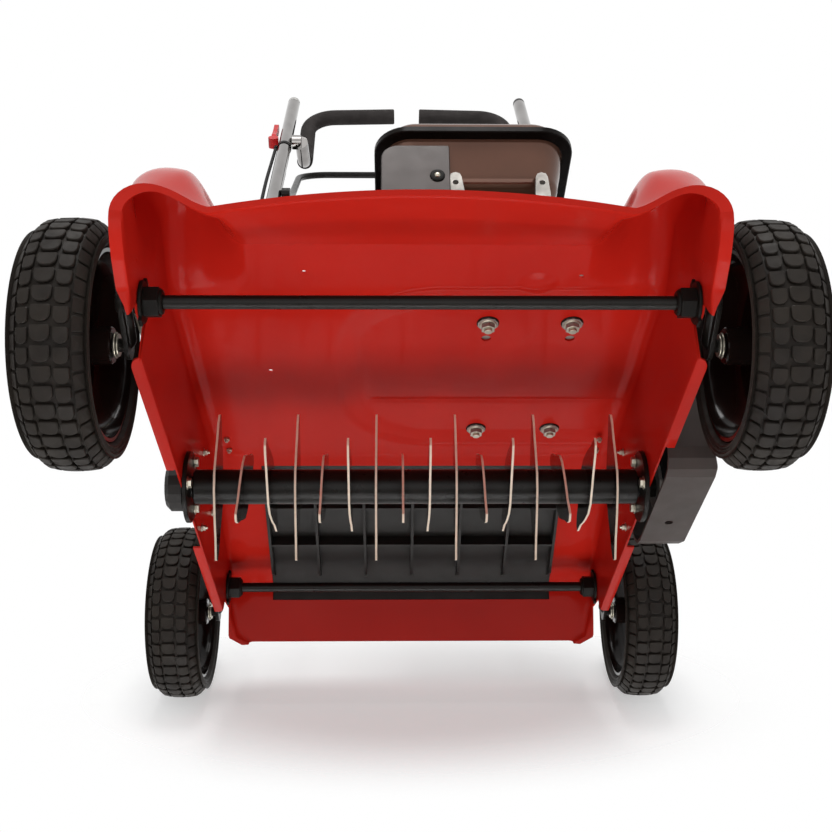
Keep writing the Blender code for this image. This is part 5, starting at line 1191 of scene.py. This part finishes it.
def bail():
    """Bent rod: each arm runs straight beside its leg from the pivot, then widens to the knee and the top."""
    y = station(leg_station(BAIL_Z))
    knee = Vector((0.0, station(BAIL_KNEE[0]), BAIL_KNEE[1]))
    corners = []
    for side in (-1, 1):
        arm = [(side * BAIL_END_X, y, BAIL_Z),
               (side * (BAIL_END_X + 0.0004), y + (knee.y - y) * BAIL_STRAIGHT,
                BAIL_Z + (knee.z - BAIL_Z) * BAIL_STRAIGHT),
               (side * BAIL_KNEE_X, knee.y, knee.z), (side * BAIL_X, station(BAIL_TOP[0]), BAIL_TOP[1])]
        corners += arm if side < 0 else list(reversed(arm))
    bm = bmesh.new()
    tube_mesh(bm, bent_path(corners, BAIL_BEND, 12), BAIL_RADIUS, 22, True, (0.0, 1.0, 0.0))
    rod = mesh_object("rod", bm)
    end = LEG_X - LEG_RADIUS - GAP
    places = [((side * (end - BAIL_BOSS / 2), y, BAIL_Z), 0.0085, BAIL_BOSS) for side in (-1, 1)]
    bosses = rods("bosses", places, "X", 36)
    piece(joined("bail_bent", [rod, bosses]), "black", "bail_rod", ["bail"], 0.0006)


def cable():
    """Sheathed cable clipped along the outside of the left leg and led under the tank to the engine."""
    def beside(z, out):
        return Vector((-(LEG_X + LEG_RADIUS + CABLE_RADIUS + out), station(leg_station(z)), z))

    knots = [beside(0.868, 0.0004), beside(0.82, 0.0016), beside(0.74, 0.0034), beside(0.64, 0.0030),
             beside(0.54, 0.0020), beside(0.45, 0.0010), beside(0.40, 0.0008)]
    knots += [Vector((x, station(place), z)) for x, place, z in CABLE_END]
    padded = [knots[0] * 2 - knots[1]] + knots + [knots[-1] * 2 - knots[-2]]
    path = []
    for a, b, c, d in zip(padded, padded[1:], padded[2:], padded[3:]):
        for i in range(8):
            t = i / 8
            path.append(0.5 * (2 * b + (c - a) * t + (2 * a - 5 * b + 4 * c - d) * t ** 2
                               + (3 * b - a - 3 * c + d) * t ** 3))
    path.append(knots[-1])
    bm = bmesh.new()
    tube_mesh(bm, path, CABLE_RADIUS, 14)
    piece(mesh_object("control_cable_sheath", bm), "belt", "chassis", ["control_cable"])
    bands = []
    for z, out in CABLE_CLIPS:
        on_cable = Matrix.Translation(beside(z, out)) @ LEG_TURN
        for radius, thick, matrix, steps in ((LEG_RADIUS, 0.0009, on_leg(-1, z), 40),
                                             (CABLE_RADIUS, 0.0008, on_cable, 24)):
            profile = [(radius + 0.0001, -CLIP_HALF), (radius + thick, -CLIP_HALF), (radius + thick, CLIP_HALF),
                       (radius + 0.0001, CLIP_HALF)]
            bands.append(turned("band", profile, matrix, steps))
    piece(joined("cable_clips", bands), "bushing", "chassis", ())


# Tank

def rounded_plate(low, high, radii, steps):
    """Outline of a rectangle with round corners, as (u, v) points. Radii go from the high corner leftwards."""
    outline = []
    corners = ((high[0], high[1], -1, -1), (low[0], high[1], 1, -1), (low[0], low[1], 1, 1),
               (high[0], low[1], -1, 1))
    for i, ((u, v, along, up), radius) in enumerate(zip(corners, radii)):
        outline += arc((u + along * radius, v + up * radius), radius, 90 * i, 90 * i + 90, steps)
    return outline


def loft(name, levels, steps=10):
    """Closed body through rounded rectangles of the tank: (z, inset, corner radius)."""
    bm = bmesh.new()
    rings = []
    for z, inset, radius in levels:
        low = (TANK_X - TANK_HALF_X + inset, station(TANK_FRONT) + inset)
        high = (TANK_X + TANK_HALF_X - inset, station(TANK_REAR) - inset)
        rings.append([bm.verts.new((x, y, z)) for x, y in rounded_plate(low, high, [radius] * 4, steps)])
    skin(bm, rings)
    bm.faces.new(list(reversed(rings[0])))
    bm.faces.new(rings[-1])
    return mesh_object(name, bm)


def tank():
    """Pressed tank: rounded lower half, rolled seam flange, low upper half and filler neck."""
    seam = TANK_SEAM_Z
    flange = TANK_FLANGE
    levels = []
    turns = 9
    for i in range(turns + 1):
        angle = math.pi / 2 * i / turns
        levels.append((TANK_BOTTOM_Z + 0.016 * (1.0 - math.cos(angle)), 0.038 - 0.0195 * math.sin(angle),
                       0.022 + 0.006 * math.sin(angle)))
    levels += [(TANK_BOTTOM_Z + 0.030, flange + 0.0046, 0.029), (seam - 0.0095, flange + 0.0016, 0.030),
               (seam - 0.0040, flange, 0.030), (seam + 0.0055, flange, 0.030)]
    for i in range(turns + 1):
        angle = math.pi / 2 * i / turns
        levels.append((TANK_TOP_Z - 0.016 + 0.016 * math.sin(angle),
                       flange + 0.003 + 0.026 * (1.0 - math.cos(angle)), 0.030 - 0.008 * (1.0 - math.cos(angle))))
    upper = [(0.0030, 0.0003, 0.038), (0.0040, 0.0014, 0.037), (0.0046, flange - 0.0030, 0.032),
             (0.0050, flange + 0.0006, 0.030)]
    band = [(seam - up, inset, radius) for up, inset, radius in reversed(upper)]
    band += [(seam + up, inset, radius) for up, inset, radius in upper]
    piece(loft("tank_seam_flange", band), "tank_seam", "chassis", ())
    # The tank body and its filler ring wear the tan finish, a painted reflection on the black steel.
    piece(loft("tank", levels), "tank", "chassis", ["fuel_tank"])
    ring = [(FILLER_RADIUS + 0.0005, 0.0), (FILLER_RADIUS + 0.0060, 0.0), (FILLER_RADIUS + 0.0050, 0.0012),
            (FILLER_RADIUS + 0.0005, 0.0012)]
    seat = Matrix.Translation((TANK_X, station(FILLER_STATION), TANK_TOP_Z - 0.0010))
    piece(turned("tank_filler_ring", ring, seat, 48), "tank", "chassis", ())


def shroud():
    """Grey sheet in front of the tank's left end: folded edges, foot, and a screw in a black grommet."""
    front = station(SHROUD_STATION)
    sheet = prism("sheet", rounded_plate(SHROUD_LOW, SHROUD_HIGH, SHROUD_CORNERS, 9), front,
                  front + SHROUD_SHEET, "Y")
    foot = blocks("foot", [((-0.014, front + SHROUD_SHEET - 0.001, SHROUD_LOW[1] + 0.0002),
                            (0.030, station(SHROUD_STATION + 0.0455), SHROUD_LOW[1] + 0.003)),
                           ((SHROUD_LOW[0] + 0.0004, front + 0.0015, SHROUD_LOW[1] + 0.004),
                            (SHROUD_LOW[0] + 0.0024, front + 0.009, SHROUD_HIGH[1] - SHROUD_CORNERS[1]))])
    piece(joined("front_shroud_sheet", [sheet, foot]), "shroud", "chassis", ["front_shroud"],
          0.0010, 3)
    seat = Matrix.Translation((SHROUD_SCREW[0], front, SHROUD_SCREW[1])) @ AXIS_TURN["Y"].inverted()
    ring = [(0.0030, 0.0), (0.0082, 0.0), (0.0078, 0.0012), (0.0060, 0.0018), (0.0030, 0.0014)]
    piece(turned("shroud_grommet", ring, seat, 36), "bushing", "chassis", ())
    head = [(0.0, 0.0034), (0.0012, 0.0034), (0.0026, 0.0028), (0.0034, 0.0016), (0.0036, 0.0), (0.0, 0.0)]
    piece(turned("shroud_screw", head, seat, 28, False), "zinc", "chassis", ())


# Build

def build_object():
    deck()
    for word, side in SIDES:
        for end, place in (("front", 0.0), ("rear", WHEELBASE)):
            body = "wheel_" + end + "_" + word
            tyre("lugged_tyre_" + end + "_" + word, body, "tyre_" + end + "_" + word, side, place)
            rim("dished_rim_" + end + "_" + word, body, "rim_" + end + "_" + word, side, place)
    axle("front", FRONT_AXLE, LINK_RADIUS)
    axle("rear", REAR_AXLE, DEPTH_LEVER_LENGTH)
    rotor()
    bearings()
    bushings()
    wall_screws()
    engine_bolts()
    legs()
    grips()
    bail()
    cable()
    tank()
    shroud()


build_object()

DRESSED = {
    "plastic": ["bearing_cap_left", "rear_flap", "blower_housing", "starter_grip", "air_cleaner", "fuel_cap"],
    "cover": ["belt_cover"],
    "lever_red": ["depth_lever_grip", "quick_release_left", "quick_release_right"],
    "zinc": ["depth_link_rod", "depth_quadrant", "throttle_lever"],
    "belt": ["drive_belt", "spark_plug_boot"],
    "cast": ["rotor_pulley", "engine_pulley", "crankcase", "cylinder", "valve_cover", "tank_bracket",
             "carburettor"],
    "steel": ["crankshaft"],
    "black": ["handle_bracket_left", "handle_bracket_right", "muffler_guard"],
    "muffler": ["muffler"],
}
NARROW_EDGE = 0.0006
WIDE_EDGES = {"belt_cover": 0.0040, "bearing_cap_left": 0.0030, "starter_grip": 0.0015}
for finish, names in DRESSED.items():
    for node in names:
        dress(node, finish, WIDE_EDGES.get(node, NARROW_EDGE), 3 if node in WIDE_EDGES else 2)


# Stage: pale floor under the machine, and the studio floor on which the photographed machine stands tipped

FLOOR_TILT = math.radians(12.0)
FADE_START = 0.4
FLOOR_REACH = (1.5, 1.5, 1.5)
TIPPED_REACH = (0.5, 0.26, 0.26)
# Each floor's brightness, and the glow added for the camera
FLOOR_TONE = (0.80, 0.46)
TIPPED_TONE = (0.86, 0.40)
MOTTLE = 0.98
FLOOR_HALF = 8.0
TIPPED_HALF = 5.0
TIPPED_UP = 0.165
TIPPED_DOWN = 6.0
AMBIENT = 0.24
LAMPED_PLACE = Vector((0.0, station(0.20), 0.20))
# Square lamps: offset from the lamped place, size, power
LAMPS = {
    "front": (AIM * -2.4 + PHOTO_UP * 0.1, 1.6, 11.0),
    "key": (AIM * -1.5 + PHOTO_UP * 1.8 + Vector((-0.9, 0.0, 0.0)), 1.6, 5.0),
    "low_fill": (AIM * -1.0 + PHOTO_UP * -2.3, 1.6, 35.0),
    "overhead": (PHOTO_UP * 2.4 + AIM * -0.1, 1.0, 32.0),
}


def reckoned(tree, operation, first, second):
    """Result of one math node."""
    return add_node(tree, "Math", {0: first, 1: second}, operation=operation)


def highest(tree, *values):
    """Largest of several factors."""
    found = values[0]
    for value in values[1:]:
        found = reckoned(tree, "MAXIMUM", found, value)
    return found


def one_sided(name, level, glow, centre, reach):
    """Pale diffuse material seen from its front only.

    Shadows and reflections pass through it, and it fades into the white background at a reach from its centre.
    """
    made = bpy.data.materials.new(name)
    made.use_nodes = True
    tree = made.node_tree
    tree.nodes.clear()
    place = add_node(tree, "TexCoord", {}, "Object")
    darker = level * MOTTLE
    tone = mixed(tree, noise_of(tree, place, 3.0), (level, level, level, 1.0), (darker, darker, darker, 1.0))
    seen = add_node(tree, "LightPath", {}, "Is Camera Ray")
    total = add_node(tree, "AddShader", {
        0: add_node(tree, "BsdfDiffuse", {"Color": tone}),
        1: add_node(tree, "Emission", {"Strength": reckoned(tree, "MULTIPLY", seen, glow)})})
    away = add_node(tree, "VectorMath", {0: place, 1: centre}, operation="SUBTRACT")
    shares = add_node(tree, "VectorMath", {0: away, 1: reach}, operation="DIVIDE")
    length = add_node(tree, "VectorMath", {0: shares}, "Value", operation="LENGTH")
    fade = add_node(tree, "MapRange", {"Value": length, "From Min": FADE_START}, interpolation_type="SMOOTHSTEP")
    hidden = highest(tree, add_node(tree, "NewGeometry", {}, "Backfacing"),
                     add_node(tree, "LightPath", {}, "Is Shadow Ray"),
                     add_node(tree, "LightPath", {}, "Is Glossy Ray"), fade)
    fill(tree, tree.nodes.new("ShaderNodeOutputMaterial"), {
        "Surface": add_node(tree, "MixShader", {0: hidden, 1: total, 2: add_node(tree, "BsdfTransparent", {})})})
    return made


def stage_plane(name, half, near, far, material):
    """Add one face that belongs to the stage: its half width, and the (y, z) of its near and far edges."""
    bm = bmesh.new()
    corners = ((-half, *near), (half, *near), (half, *far), (-half, *far))
    bm.faces.new([bm.verts.new(corner) for corner in corners])
    obj = mesh_object(name, bm)
    obj.data.materials.append(material)


def build_floors():
    """The floor under the wheels, and the tipped one that touches the rear wheels."""
    stage_plane("floor", FLOOR_HALF, (-FLOOR_HALF, 0.0), (FLOOR_HALF, 0.0),
                one_sided("pale_floor", *FLOOR_TONE, (0.0, station(WHEELBASE / 2), 0.0), FLOOR_REACH))
    normal = (PHOTO_UP * math.cos(FLOOR_TILT) - PHOTO_LEVEL * math.sin(FLOOR_TILT)).normalized()
    contact = Vector((0.0, station(WHEELBASE), WHEEL_RADIUS)) - normal * (WHEEL_RADIUS + 0.001)
    down = Vector((0.0, -normal.z, normal.y))
    top = contact - down * TIPPED_UP
    bottom = contact + down * TIPPED_DOWN
    stage_plane("tipped_floor", TIPPED_HALF, bottom.yz, top.yz,
                one_sided("studio_floor", *TIPPED_TONE, contact, TIPPED_REACH))


def build_world():
    """White background for what the camera sees, also in reflections, and a weaker light from all round."""
    world = bpy.data.worlds.new("studio")
    bpy.context.scene.world = world
    world.use_nodes = True
    tree = world.node_tree
    tree.nodes.clear()
    seen = highest(tree, *(add_node(tree, "LightPath", {}, ray)
                           for ray in ("Is Camera Ray", "Is Glossy Ray", "Is Transmission Ray")))
    strength = add_node(tree, "MapRange", {"Value": seen, "To Min": AMBIENT, "To Max": 1.0})
    background = add_node(tree, "Background", {"Color": (1.0, 1.0, 1.0, 1.0), "Strength": strength})
    fill(tree, tree.nodes.new("ShaderNodeOutputWorld"), {"Surface": background})


def build_lamps():
    for name, (offset, size, power) in LAMPS.items():
        data = bpy.data.lights.new(name, "AREA")
        data.shape = "SQUARE"
        data.size = size
        data.energy = power
        lamp = bpy.data.objects.new(name, data)
        lamp.location = LAMPED_PLACE + offset
        lamp.rotation_euler = (-offset).to_track_quat("-Z", "Y").to_euler()
        bpy.context.collection.objects.link(lamp)


build_floors()
build_world()
build_lamps()
bpy.context.scene.view_settings.view_transform = "Standard"
